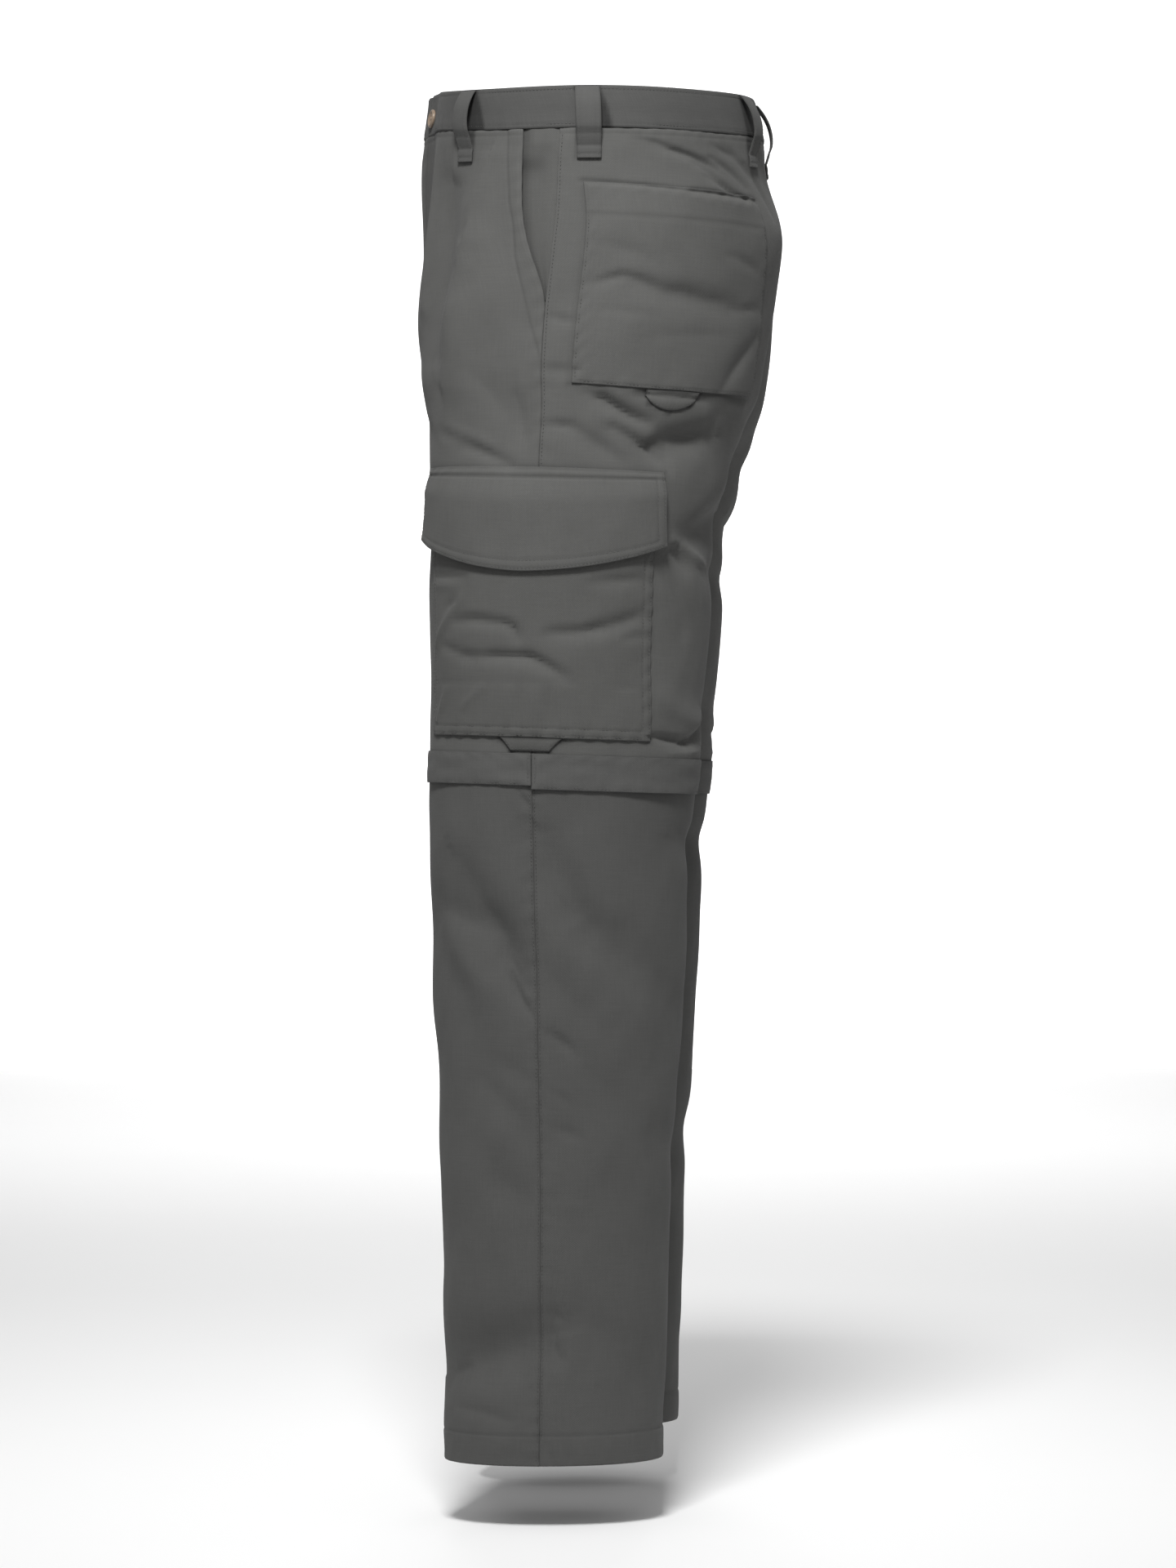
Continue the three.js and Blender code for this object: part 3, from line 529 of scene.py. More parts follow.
def makePanel(node, side, isFront, top, foot, material):
    name = "cloth_" + node
    turned = -1 if isFront else 1
    isUpper, isNear = foot == leg["upperEnd"], side > 0
    finer = gridSet["rows"][0 if isNear else 1] * (1 if isUpper else gridSet["lowerRows"])
    rows = int((top - foot) / cloth["cell"] * finer)
    z = (foot + (top - foot) * (1 - warp(rows, 0.5)))[:, None]
    columns = gridSet["upper" if isUpper else "lower"][0 if isNear else 1]
    u = warp(columns)[None, :]
    opened = isFront & (z > slant["end"])
    hair = turned * 0.05  # degrees from the seam
    edge = np.where(opened, slantAngle(z), section("seam", z)) + hair
    angle = edge + (centreAngle(z, isFront) - edge) * u
    plain = place(side, angle, z, 0)
    across = runAcross(plain)
    fromEdge, fromCentre = across, across[:, -1:] - across
    seed = 1.3 * side + (0.7 if isFront else 2.1) + top / 200
    sideRows = () if isUpper and isFront else seamRows["side"]
    centreRows = np.where(z > leg["crotch"], 1, 0)
    atOpening = -0.7 * bell(fromEdge, 0.8) - cloth["groove"] * bell(fromEdge - 2, 1)
    form = np.where(opened, atOpening, edgeForm(fromEdge, sideRows, 0.4))
    form = form + pucker(fromEdge, z, seed, 0.3)
    form = form + edgeForm(fromCentre, seamRows["inseam"]) + pucker(fromCentre, z, seed + 1, 0.35)
    form = form - cloth["groove"] * bell(fromCentre - 7.5, 1) * centreRows
    # painted shade along the side seam, the inseam and their sewn rows
    shadeTone = 0.35 * edgeShadeTone(fromEdge, sideRows) + edgeShadeTone(fromCentre, seamRows["inseam"])
    if isFront and isUpper:
        perDegree = fromEdge[:, 10:11] / np.abs(angle[:, 10:11] - angle[:, :1])
        toRow = (angle - np.interp(z, slantRow[:, 0], slantRow[:, 1])) * perDegree
        onRow = smooth(slantRow[0, 0] - 3, slantRow[0, 0] + 3, z)
        form = form + (0.28 * bell(toRow - 5, 5) - 0.5 * bell(toRow, 1.3)) * onRow
        form = form + slant["lift"] * bell(fromEdge, 9) * smooth(slant["end"], slant["end"] + 50, z)
        # painted shade in the slant pocket's sewn row
        shadeTone = shadeTone - 0.7 * bell(toRow, 1.1) * onRow
        if isNear:
            inFly = smooth(flySet["foot"], flySet["foot"] + 8, z)
            toFly = fromCentre - flyEdge(z)
            form = form + inFly * (flySet["lift"] * smooth(30, 4, fromCentre) - 0.4 * bell(toFly, 1.2)
                                   - 0.35 * bell(toFly + flySet["row"], 1.2))
            # painted shade in the fly's two sewn rows
            shadeTone = shadeTone - 0.5 * inFly * (bell(toFly, 1.1) + bell(toFly + flySet["row"], 1.1))
            shadeTone = shadeTone - 1.4 * smooth(-72, -76, angle) * smooth(-150, -70, z)  # the fly lies in its own shade
    fromTop, fromFoot = top - z, z - foot
    if foot == leg["hem"]:
        inHem = smooth(leg["hemDeep"] + 1, leg["hemDeep"] - 1, fromFoot)
        ripple = pucker(fromFoot - leg["hemDeep"] / 2, across, seed, 0.35, 14)
        form = form + 0.35 * inHem - 0.55 * bell(fromFoot - leg["hemDeep"], 1.2) - 0.5 * bell(fromFoot, 0.9) + ripple
        # a lighter band along the hem's fold, and painted shade in its sewn row
        shadeTone = shadeTone + 0.3 * bell(fromFoot - 1, 1.4) - 0.7 * bell(fromFoot - leg["hemDeep"], 1.0)
        wall = cloth["wall"] * (1 + inHem)
    else:
        wall = cloth["wall"]
    if isUpper:
        form = form - 0.25 * bell(fromTop, 0.9) - 0.3 * bell(fromTop - 4.5, 1.2)
        form = form + pucker(fromTop, across, seed, 0.22, 9)
        # painted shade in the sewn row under the waistband
        shadeTone = shadeTone - 0.5 * bell(fromTop - 4.5, 1.0)
        # the seam allowance turns in and up behind the waistband
        tuck = -waist["wall"] + waist["proud"] - 0.5
        z = np.vstack([[[top + 6]], [[top - 0.1]], z])
        angle, across = np.vstack([angle[:1], angle[:1], angle]), np.vstack([across[:1], across[:1], across])
        form = np.vstack([np.full((2, form.shape[1]), tuck), form])
        shadeTone = np.vstack([np.zeros((2, form.shape[1])), np.broadcast_to(shadeTone, (rows, form.shape[1]))])
    outer, inner = place(side, angle, z, form), place(side, angle, z, form - wall)
    if isUpper:
        joined = z[:, 0] > leg["crotch"] + 3
        outer[joined, -1, 0] = inner[joined, -1, 0] = side * cloth["gap"] / 2  # the centre seam stays closed
    shadeTone = shadeTone + seamShade(angle, z) + (loopShade(angle, z, across) if isUpper else 0)
    uv = np.stack([across, np.broadcast_to(z, across.shape)], -1)
    piece = makeShell(name, outer, inner, material, uv=uv, shadeAndTone=np.broadcast_to(shadeTone, across.shape))
    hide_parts(node)
    layFlat(outer)
    line = np.linspace(foot + 3, top - 3, 400)
    if sideRows:
        sew(name, side, section("seam", line) + turned * sideRows[0] / 1.9, line, 0.05)


def layPatch(node, side, spot, size, cells, thick, material, inset=(), wave=0.25, seed=1, extra=None):
    # a patch sewn on the garment: spot(u, v) gives angle, level and offset over the unit square
    name = "cloth_" + node
    u, v = np.meshgrid(warp(cells[0], 0.7), warp(cells[1], 0.7))
    angle, z, off = spot(u, v)
    wide, tall = size
    near = np.minimum(np.minimum(u, 1 - u) * wide, np.minimum(v, 1 - v) * tall)
    form = -0.55 * bell(near, 0.9)
    small = max(size) < 60
    # painted shade along the patch's edge, heavier round small patches, and in its sewn rows, with a slightly lighter
    # band just inside the edge
    shadeTone = 0.1 * bell(near - 1.4, 1.2) - (3.4 if small else 1.3) * bell(near, 1.0 if small else 0.6)
    for row in inset:
        form = form - cloth["groove"] * bell(near - row, 1.0)
        shadeTone = shadeTone - 0.3 * bell(near - row, 0.9)
    form = form + pucker(near, u * wide + v * tall, seed, wave, 8)
    # some patches add their own form and painted shade
    if extra is not None:
        addForm, addShadeTone = extra(u, v)
        form, shadeTone = form + addForm, shadeTone + addShadeTone
    outer = place(side, angle, z, off + thick + form)
    inner = place(side, angle, z, off + 0 * form)
    uv = np.stack([u * wide, -v * tall], -1)
    piece = makeShell(name, outer, inner, material, uv=uv, shadeAndTone=shadeTone)
    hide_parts(node)
    layFlat(outer)
    t = np.linspace(0, 1, 300)
    for row in inset:
        edgeU, edgeV = row / wide, row / tall
        fromU, fromV = lerp(edgeU, 1 - edgeU, t), lerp(edgeV, 1 - edgeV, t)
        for lineU, lineV in ((edgeU + 0 * t, fromV), (1 - edgeU + 0 * t, fromV), (fromU, 1 - edgeV + 0 * t)):
            a, level, lift = spot(lineU, lineV)
            sew(name, side, a, level, lift + thick - 0.25)


def layFlat(points):
    # measures the form's longest row and column, which the flat cut shares since stretched cloth keeps them; the
    # values are not kept
    wide, tall = runAcross(points)[:, -1].max(), runAcross(points.transpose(1, 0, 2))[:, -1].max()


backPocket = {"head": -58.5, "foot": -215.5, "fromTop": -5.5, "fromFoot": -2, "toTop": 57, "toFoot": 76,
              "size": (150, 158), "hem": 25, "rows": (1.8,)}
backTab = {"from": 22, "to": 42.5, "deep": 15.5, "size": (40, 15), "rows": (1.8,)}
flap = {"head": -281, "from": -76, "toHead": 36.5, "toFoot": 40.5, "tip": -362, "tipAngle": -17, "lift": 24,
        "half": 58, "size": (205, 75), "rows": (1.8, 7.5)}
cargo = {"head": -297, "foot": -490.2, "from": -70, "toHead": 34.5, "toFoot": 40, "bulge": 2.2, "size": (190, 193),
         "rows": (1.8, 7.5)}
cargoTab = {"from": -23.8, "to": 1.4, "footFrom": -18.8, "footTo": -3, "deep": 10.6, "size": (42, 11),
            "rows": (1.8,)}
zipBand = {"head": -502.8, "frontFoot": -527.6, "backFoot": -530.4, "size": (250, 27), "rows": (1.8,)}
facing = {"size": (38, 131)}
zipSet = {"levels": (-499, -508, -515, -521, -530, -541), "wall": 0.8, "behind": 0.8, "teethAt": -514,
          "rows": (-1.3, 1.3)}


def backPocketSpot(u, v):
    z = lerp(backPocket["head"] - 6 * u, backPocket["foot"] - 2.5 * np.sin(pi * u), v)
    down = (backPocket["head"] - z) / (backPocket["head"] - backPocket["foot"])
    angle = lerp(lerp(backPocket["fromTop"], backPocket["fromFoot"], down),
                 lerp(backPocket["toTop"], backPocket["toFoot"], down), u)
    gape = 2.6 * bell(v, 0.09) * smooth(0.1, 0.75, u) * smooth(1, 0.9, u)
    full = 1.1 * np.sin(pi * u) * np.sin(pi * np.clip(v, 0, 1))
    return angle, z, cloth["lay"] + gape + full


def backPocketHem(u, v):
    # the turned top hem is one layer thicker and its sewn row sinks, with painted shade in the row
    down = v * backPocket["size"][1] - backPocket["hem"]
    return 0.35 * smooth(1, -1, down) - 0.5 * bell(down, 1.2), -0.6 * bell(down, 1.0)


def backTabSpot(u, v):
    foot = backPocket["foot"] - 2.5
    low = foot - 2 - (backTab["deep"] - 2) * np.sin(pi * np.clip(u, 0.02, 0.98)) ** 0.5
    z = lerp(foot - 0.4, low, v)
    return lerp(backTab["from"], backTab["to"], u), z, cloth["lay"] + 1.6 * np.sin(pi * u) * (1 - v)


def cargoOff(u, z):
    down = (cargo["head"] - z) / (cargo["head"] - cargo["foot"])
    full = np.clip(np.sin(pi * u), 0, 1) ** 0.7 * np.clip(np.sin(pi * np.clip(down * 0.9 + 0.04, 0, 1)), 0, 1) ** 0.8
    return cloth["lay"] + cargo["bulge"] * full


def cargoSpot(u, v):
    z = lerp(cargo["head"], cargo["foot"], v)
    angle = lerp(cargo["from"], lerp(cargo["toHead"], cargo["toFoot"], v), u)
    return angle, z, cargoOff(u, z)


def flapSpot(u, v):
    fromTip = np.abs((lerp(flap["from"], flap["toFoot"], u) - flap["tipAngle"]) / flap["half"])
    low = flap["tip"] + flap["lift"] * fromTip ** 1.7
    z = lerp(flap["head"], low, v)
    down = (flap["head"] - z) / (flap["head"] + 336)
    angle = lerp(flap["from"], lerp(flap["toHead"], flap["toFoot"], down), u)
    off = cloth["lay"] + smooth(0, 0.36, v) * 4.8 + 2.6 * v * v * (1 - u) ** 2
    return angle, z, off + 0.5 * v * softNoise(u * 200, v * 80, 70, 5)


def flapHead(u, v):
    # double sewn row along the head, with painted shade in it, and a soft crease where the flap bends over
    down = v * flap["size"][1]
    return -0.5 * bell(down - 7.5, 1.2) + 0.3 * bell(down - 4.5, 2), -0.5 * bell(down - 7.5, 1.0)


def cargoTabSpot(u, v):
    z = lerp(cargo["foot"] - 0.4, cargo["foot"] - cargoTab["deep"], v)
    angle = lerp(lerp(cargoTab["from"], cargoTab["footFrom"], v), lerp(cargoTab["to"], cargoTab["footTo"], v), u)
    return angle, z, cloth["lay"] + 1.8 * np.sin(pi * u) * (1 - v)


def facingSpot(u, v):
    # the facing runs on behind the opening edge, behind the back panel and up behind the waistband
    z = lerp(waist["foot"] + 5, slant["end"] + 8, v)
    front = slantAngle(z) - 9 * smooth(slant["end"], slant["end"] + 60, z) - 2
    angle = lerp(front, section("seam", z) + 2.5, u)
    wide = section("seam", z) - slantAngle(z)
    fromSeam = (section("seam", z) - angle) / wide
    raised = 1.1 * smooth(0.95, 0.75, fromSeam) * smooth(0.02, 0.2, fromSeam) * smooth(-36, -26, z)
    sunk = 2.2 * smooth(0.0, 0.8, fromSeam) * smooth(-37, -50, z)
    return angle, z, raised - cloth["patch"] - cloth["wall"] - 0.5 - sunk


def facingShade(u, v):
    # the facing darkens towards the opening edge that stands over it, most at the top
    z = lerp(waist["foot"] + 5, slant["end"] + 8, v)
    angle = facingSpot(u, v)[0]
    fromSeam = (section("seam", z) - angle) / (section("seam", z) - slantAngle(z))
    return 0 * u, -1.5 * smooth(0.7, 1.04, fromSeam) - 1.0 * bell(z + 42, 9) * smooth(0.05, 0.7, fromSeam)


def zipCoverSpot(isFront):
    foot = zipBand["frontFoot"] if isFront else zipBand["backFoot"]
    turned = -1 if isFront else 1

    def spot(u, v):
        z = lerp(zipBand["head"], foot, v)
        edge = section("seam", z) + turned * 0.1
        angle = lerp(edge, centreAngle(z, isFront) - turned * 0.15, u)
        lifted = 0.7 * v**2 * (1 + 0.8 * np.sin(u * 17 + 2 * v)) + 1.6 * v**3 * bell(u - 0.28, 0.16) * (not isFront)
        ripple = 0.5 * np.sin(pi * v) * softNoise(u * 110, v * 60 + 40 * isFront, 26, 31)
        return angle, z, cloth["gap"] + 0.2 + lifted + ripple
    return spot


def makeZip(name, side, tape):
    around = np.linspace(-180, 180, 181)[None, :-1]
    z = np.array(zipSet["levels"])[:, None]
    under = -cloth["wall"] - cloth["lay"] - zipSet["behind"]
    outer = place(side, around, z, under)
    inner = place(side, around, z, under - zipSet["wall"])
    piece = makeShell("cloth_zip_" + name, outer, inner, tape, ring=True)
    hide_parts("zip_" + name)
    layFlat(np.hstack([outer, outer[:, :1]]))
    line = np.linspace(-178, 178, 900)
    for row in zipSet["rows"]:
        sew("zip_" + name, side, line, zipSet["teethAt"] + row, under + 0.5, pitch=1.6, length=1.2, radius=0.7)


def makeWaistband(name, side, material):
    rows, turns = gridSet["band"]
    along = np.linspace(0, 1, turns)
    stop = centreAngle(0, True) if side > 0 else angleAtX(waist["underStop"], 0, True)
    angle = lerp(centreAngle(0, False), stop, along)
    share = warp(rows, 0.75)[:, None]
    head = waist["top"] + waist["lift"] + waist["frontLift"] * np.where(angle < 0, np.sin(np.radians(angle)) ** 16, 0)
    z = lerp(head[None, :], waist["foot"], share)
    grid = place(side, angle[None, :], z, 0)
    across = runAcross(grid)
    fromTop, fromFoot = head - z, z - waist["foot"]
    form = -0.9 * bell(fromTop, 1.3) - 0.7 * bell(fromFoot, 1.0)
    form = form - 0.3 * bell(fromTop - 3, 1) - 0.3 * bell(fromFoot - 3, 1)
    form = form + pucker(fromFoot, across, side, 0.2, 12) + 0.35 * softNoise(across, z, 70, 41 + side)
    # the band's tone: darker overall, a lighter band along its top, painted shade at its foot and in its sewn rows,
    # and the shade under the belt loops
    shadeTone = -0.8 + 0.2 * bell(fromTop - 1, 2) - 0.9 * bell(fromFoot, 0.7)
    shadeTone = shadeTone - 0.3 * bell(fromTop - 3, 0.9) - 0.3 * bell(fromFoot - 3, 0.9)
    shadeTone = shadeTone + loopShade(np.broadcast_to(angle, across.shape), z, across)
    if side > 0:
        form = form - 0.8 * bell(across[:, -1:] - across, 0.9)
    off = waist["proud"] + form
    outer, inner = place(side, angle, z, off), place(side, angle, z, off * 0 + waist["proud"] - waist["wall"])
    if side < 0:
        # the right end turns in and runs on behind the left one
        level = z[:, -1:]
        for way, x, behind in waist["turnIn"]:
            back = (waist["wall"] + waist["sunk"]) * behind
            a = angleAtX(x, level, True)
            outer = np.hstack([outer, place(way, a, level, waist["proud"] - back)])
            inner = np.hstack([inner, place(way, a, level, waist["proud"] - waist["wall"] - back)])
            z = np.hstack([z, level])
        across = runAcross(outer)
        shadeTone = np.hstack([np.broadcast_to(shadeTone, (rows, turns)), np.zeros((rows, len(waist["turnIn"])))])
    uv = np.stack([across, np.broadcast_to(z, across.shape)], -1)
    piece = makeShell("cloth_waistband_" + name, outer, inner, material, uv=uv,
                      shadeAndTone=np.broadcast_to(shadeTone, across.shape))
    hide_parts("waistband_" + name)
    layFlat(outer)
    line = np.linspace(angle[0] - 1, angle[-1] + 1, 900)
    for level in (np.interp(line, angle[::-1], head[::-1]) - 3, waist["foot"] + 3):
        sew("waistband_" + name, side, line, level, waist["proud"] - 0.15)


loop = {"wide": 18.5, "wall": 1.5, "head": 17, "tack": -30, "foot": -40, "stand": 6.6, "cells": (11, 60),
        "rows": (-6, 6), "places": {"front": -48.4, "side": -3.7, "back": 61.5}}


def makeLoop(spot, side, angle, material):
    # a strip that bows off the waistband between its tacked ends, with two sewn rows and a double foot
    across, down = loop["cells"]
    shift = (warp(across, 0.6)[None, :] - 0.5) * loop["wide"]
    z = lerp(loop["head"], loop["foot"], warp(down, 0.4))[:, None]
    t = np.clip((loop["head"] - z) / (loop["head"] - loop["tack"]), 0, 1)
    onBand = waist["proud"] * smooth(-22, -15, z)
    off = cloth["lay"] + onBand + loop["stand"] * np.sin(pi * t**0.85) ** 0.9 + 0.5 * smooth(-30, -33, z)
    edge = loop["wide"] / 2 - np.abs(shift)
    form = -0.45 * bell(edge, 0.9) - 0.28 * bell(edge - 3.2, 0.9) - 0.3 * bell(z + 36.5, 0.9) - 0.3 * bell(z + 21, 0.8)
    # the loop's tone: a little darker overall, painted shade along its edges and sewn rows, at its double foot and
    # where it crosses the band's foot
    shadeTone = -0.3 - 1.2 * bell(edge, 0.8) - 0.4 * bell(edge - 3.2, 0.8)
    shadeTone = shadeTone - 0.6 * bell(z + 36.5, 0.8) - 0.9 * bell(z + 17, 1.6)
    if angle is None:
        a = angleAtX(np.maximum(np.abs(shift), 0.4), z, False)
        outer, inner = place(1, a, z, off + loop["wall"] + form), place(1, a, z, off)
        outer[..., 0], inner[..., 0] = shift, shift
    else:
        perDegree = np.linalg.norm(place(side, angle + 0.5, z, 0) - place(side, angle - 0.5, z, 0), axis=-1)
        a = angle + shift / perDegree
        outer, inner = place(side, a, z, off + loop["wall"] + form), place(side, a, z, off)
    uv = np.stack(np.broadcast_arrays(shift, z), -1)
    shadeTone = np.broadcast_to(shadeTone, outer.shape[:2])
    piece = makeShell("cloth_loop_" + spot, outer, inner, material, uv=uv, shadeAndTone=shadeTone)
    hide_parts("belt_loop_" + spot)
    layFlat(outer)
    if angle is not None:
        for row in loop["rows"]:
            sew("loops_" + ("left" if side > 0 else "right"), side, angle + row / 2.2, z[2:-2, 0],
                np.interp(z[2:-2, 0], z[::-1, 0], (off + loop["wall"])[::-1, 0]) - 0.1)


button = {"across": 15, "thick": 2.6, "fromCentre": 12, "seat": 0.2, "rim": 1.5, "holes": 1.0, "holeRing": 2.3,
          "cells": (34, 9, 6, 96)}


def makeButton(material):
    # a turned disc: rim, sunk middle with four thread holes, rounded back, laid on the band's own normal
    angle = angleAtX(button["fromCentre"], 0.0, True)
    on = place(1, angle, 0, waist["proud"] + button["seat"])
    alongBand = place(1, angle + 1, 0, waist["proud"]) - place(1, angle - 1, 0, waist["proud"])
    upBand = place(1, angle, 4, waist["proud"]) - place(1, angle, -4, waist["proud"])
    out = np.cross(alongBand, upBand)
    out, alongBand = out / np.linalg.norm(out), alongBand / np.linalg.norm(alongBand)
    upBand = np.cross(out, alongBand)
    half, thick = button["across"] / 2, button["thick"]
    inFace, inRim, inBack, columns = button["cells"]
    bend = np.linspace(0, pi, inRim)[1:]
    radius = np.concatenate([np.linspace(0, half - 0.5, inFace), half - 0.5 + 0.5 * np.sin(bend),
                             np.linspace(half - 0.5, 0, inBack)[1:]])
    face = thick - 0.9 + 0.9 * bell(radius[:inFace] - (half - button["rim"]), 1.2)
    height = np.concatenate([face, lerp(face[-1], 0.0, (1 - np.cos(bend)) / 2), np.zeros(inBack - 1)])
    turn = np.linspace(0, 2 * pi, columns + 1)[None, :-1]
    r, h = radius[:, None], height[:, None] + 0 * turn
    x, y = r * np.cos(turn), r * np.sin(turn)
    top = (np.arange(len(radius)) < inFace)[:, None]
    for quarter in (pi / 4 + k * pi / 2 for k in range(4)):
        fromHole = np.hypot(x - button["holeRing"] * np.cos(quarter), y - button["holeRing"] * np.sin(quarter))
        h = h - np.where(top, 1.5 * bell(fromHole, button["holes"] * 0.8), 0)
    points = on + x[..., None] * alongBand + y[..., None] * upBand + h[..., None] * out
    # one point in the middle of the face and one in the middle of the back
    flat = np.vstack([points[:1, 0], points[1:-1].reshape(-1, 3), points[-1:, 0]])
    index = 1 + np.arange(len(flat) - 2).reshape(-1, columns)
    index = np.hstack([index, index[:, :1]])
    faces = quadsOf(index).tolist()
    faces += [[index[0, k + 1], index[0, k], 0] for k in range(columns)]
    faces += [[index[-1, k], index[-1, k + 1], len(flat) - 1] for k in range(columns)]
    volume = sum(np.dot(flat[f[0]], np.cross(flat[f[k]], flat[f[k + 1]])) for f in faces for k in range(1, len(f) - 1))
    if volume < 0:
        faces = [face[::-1] for face in faces]
    piece = addMesh("button_disc", flat, faces, material)
    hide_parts("button")


flyShield = {"half": 26, "foot": -172, "behind": 0.6, "cells": (30, 60)}


def makeFlyShield(material):
    x = np.linspace(-flyShield["half"], flyShield["half"], flyShield["cells"][0])[None, :]
    z = np.linspace(waist["foot"] - 1, flyShield["foot"], flyShield["cells"][1])[:, None]
    angle = angleAtX(np.maximum(np.abs(x), 0.4) + 0 * z, z, True)
    under = -cloth["wall"] - cloth["lay"] - flyShield["behind"]
    grids = []
    for off in (under, under - cloth["patch"]):
        grid = np.where((x < 0)[..., None], place(-1, angle, z, off), place(1, angle, z, off))
        grid[..., 0] = x
        grids.append(grid)
    across = runAcross(grids[0])
    piece = makeShell("cloth_fly_shield", grids[0], grids[1], material,
                      uv=np.stack([across, np.broadcast_to(z, across.shape)], -1))
    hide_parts("fly_shield")
    layFlat(grids[0])


# materials
clothLook = {
    "twill": {"colour": (0.078, 0.078, 0.075), "roughness": 0.86},
    # the same cloth as the twill, coloured darker as painted shade because the lower legs take less light
    "lower": {"colour": (0.062, 0.062, 0.06), "roughness": 0.86},
    "pocket": {"colour": (0.072, 0.072, 0.069), "roughness": 0.86},
    "band": {"colour": (0.067, 0.067, 0.065), "roughness": 0.84},
}


def wire(tree, source, target):
    tree.links.new(source, target)


def mathNode(tree, operation, a, b=None):
    node = tree.nodes.new("ShaderNodeMath")
    node.operation = operation
    for socket, value in zip(node.inputs, (a, b)):
        if value is None:
            continue
        if isinstance(value, (int, float)):
            socket.default_value = value
        else:
            wire(tree, value, socket)
    return node.outputs[0]


def noiseNode(tree, vector, scale, detail=2.0):
    node = tree.nodes.new("ShaderNodeTexNoise")
    node.inputs["Scale"].default_value = scale
    node.inputs["Detail"].default_value = detail
    wire(tree, vector, node.inputs["Vector"])
    return node.outputs["Fac"]


def newMaterial(name):
    material = bpy.data.materials.new(name)
    material.use_nodes = True
    tree = material.node_tree
    return material, tree, tree.nodes["Principled BSDF"], tree.nodes.new("ShaderNodeTexCoord").outputs["Object"]


def paintWith(tree, shader, colour, tone):
    # the colour times a tone that varies over the piece
    paint = tree.nodes.new("ShaderNodeVectorMath")
    paint.operation = "SCALE"
    paint.inputs[0].default_value = colour
    wire(tree, tone, paint.inputs["Scale"])
    wire(tree, paint.outputs[0], shader.inputs["Base Color"])


def bumpNode(tree, height, distance, strength, under=None):
    bump = tree.nodes.new("ShaderNodeBump")
    bump.inputs["Distance"].default_value = distance
    bump.inputs["Strength"].default_value = strength
    wire(tree, height, bump.inputs["Height"])
    if under is not None:
        wire(tree, under, bump.inputs["Normal"])
    return bump.outputs[0]


def twillMaterial(name, colour, roughness, twillStep=0.9):
    # twill: slanting ribs over fine yarns, uneven dye, and the painted shade and tone shifts read from the point
    # attribute
    material, tree, shader, place3d = newMaterial(name)
    weave = tree.nodes.new("ShaderNodeUVMap")
    weave.uv_map = "weave"
    split = tree.nodes.new("ShaderNodeSeparateXYZ")
    wire(tree, weave.outputs[0], split.inputs[0])
    step = 2 * pi / (twillStep * metre)
    drift = mathNode(tree, "MULTIPLY", noiseNode(tree, place3d, 300, 1), 4.0)
    slanted = mathNode(tree, "ADD", mathNode(tree, "MULTIPLY", split.outputs[0], step),
                       mathNode(tree, "MULTIPLY", split.outputs[1], step * 0.62))
    ribs = mathNode(tree, "SINE", mathNode(tree, "ADD", slanted, drift))
    yarns = mathNode(tree, "SINE", mathNode(tree, "MULTIPLY", split.outputs[1], step * 2.1))
    fibres = noiseNode(tree, place3d, 2600, 3)
    slow = noiseNode(tree, place3d, 9, 3)
    middle = noiseNode(tree, place3d, 70, 4)
    # the painted shade and tone shifts laid on each piece's points
    shadeAndTone = tree.nodes.new("ShaderNodeAttribute")
    shadeAndTone.attribute_name = "shadeAndTone"
    tone = mathNode(tree, "ADD", mathNode(tree, "MULTIPLY", slow, 0.16), 0.54)
    for source, share in ((middle, 0.14), (fibres, 0.3), (ribs, 0.05), (shadeAndTone.outputs["Fac"], 0.2)):
        tone = mathNode(tree, "ADD", tone, mathNode(tree, "MULTIPLY", source, share))
    for stretch in ((900, 40, 1), (40, 900, 1)):
        # thick and thin yarns, along the cloth and across it
        turned = tree.nodes.new("ShaderNodeMapping")
        turned.inputs["Scale"].default_value = stretch
        wire(tree, weave.outputs[0], turned.inputs["Vector"])
        tone = mathNode(tree, "ADD", tone, mathNode(tree, "MULTIPLY", noiseNode(tree, turned.outputs[0], 1, 2), 0.16))
    paintWith(tree, shader, colour, tone)
    rough = mathNode(tree, "ADD", mathNode(tree, "MULTIPLY", middle, 0.12), roughness - 0.06)
    wire(tree, rough, shader.inputs["Roughness"])
    shader.inputs["Specular IOR Level"].default_value = 0.3
    shader.inputs["Sheen Weight"].default_value = 0.03
    shader.inputs["Sheen Roughness"].default_value = 0.5
    height = mathNode(tree, "ADD", mathNode(tree, "MULTIPLY", ribs, 0.5), mathNode(tree, "MULTIPLY", yarns, 0.22))
    fine = bumpNode(tree, mathNode(tree, "ADD", height, fibres), 0.00012, 0.6)
    wire(tree, bumpNode(tree, middle, 0.0006, 0.35, fine), shader.inputs["Normal"])
    return material


def plainMaterial(name, colour, roughness, scale, bump, spread=0.3, specular=0.5):
    # one colour, clouded by noise, with a fine grain in its surface
    material, tree, shader, place3d = newMaterial(name)
    cloud = noiseNode(tree, place3d, scale, 4)
    paintWith(tree, shader, colour, mathNode(tree, "ADD", mathNode(tree, "MULTIPLY", cloud, 2 * spread), 1 - spread))
    rough = mathNode(tree, "ADD", mathNode(tree, "MULTIPLY", cloud, 0.15), roughness - 0.07)
    wire(tree, rough, shader.inputs["Roughness"])
    shader.inputs["Specular IOR Level"].default_value = specular
    wire(tree, bumpNode(tree, noiseNode(tree, place3d, scale * 6, 3), bump, 0.5), shader.inputs["Normal"])
    return material


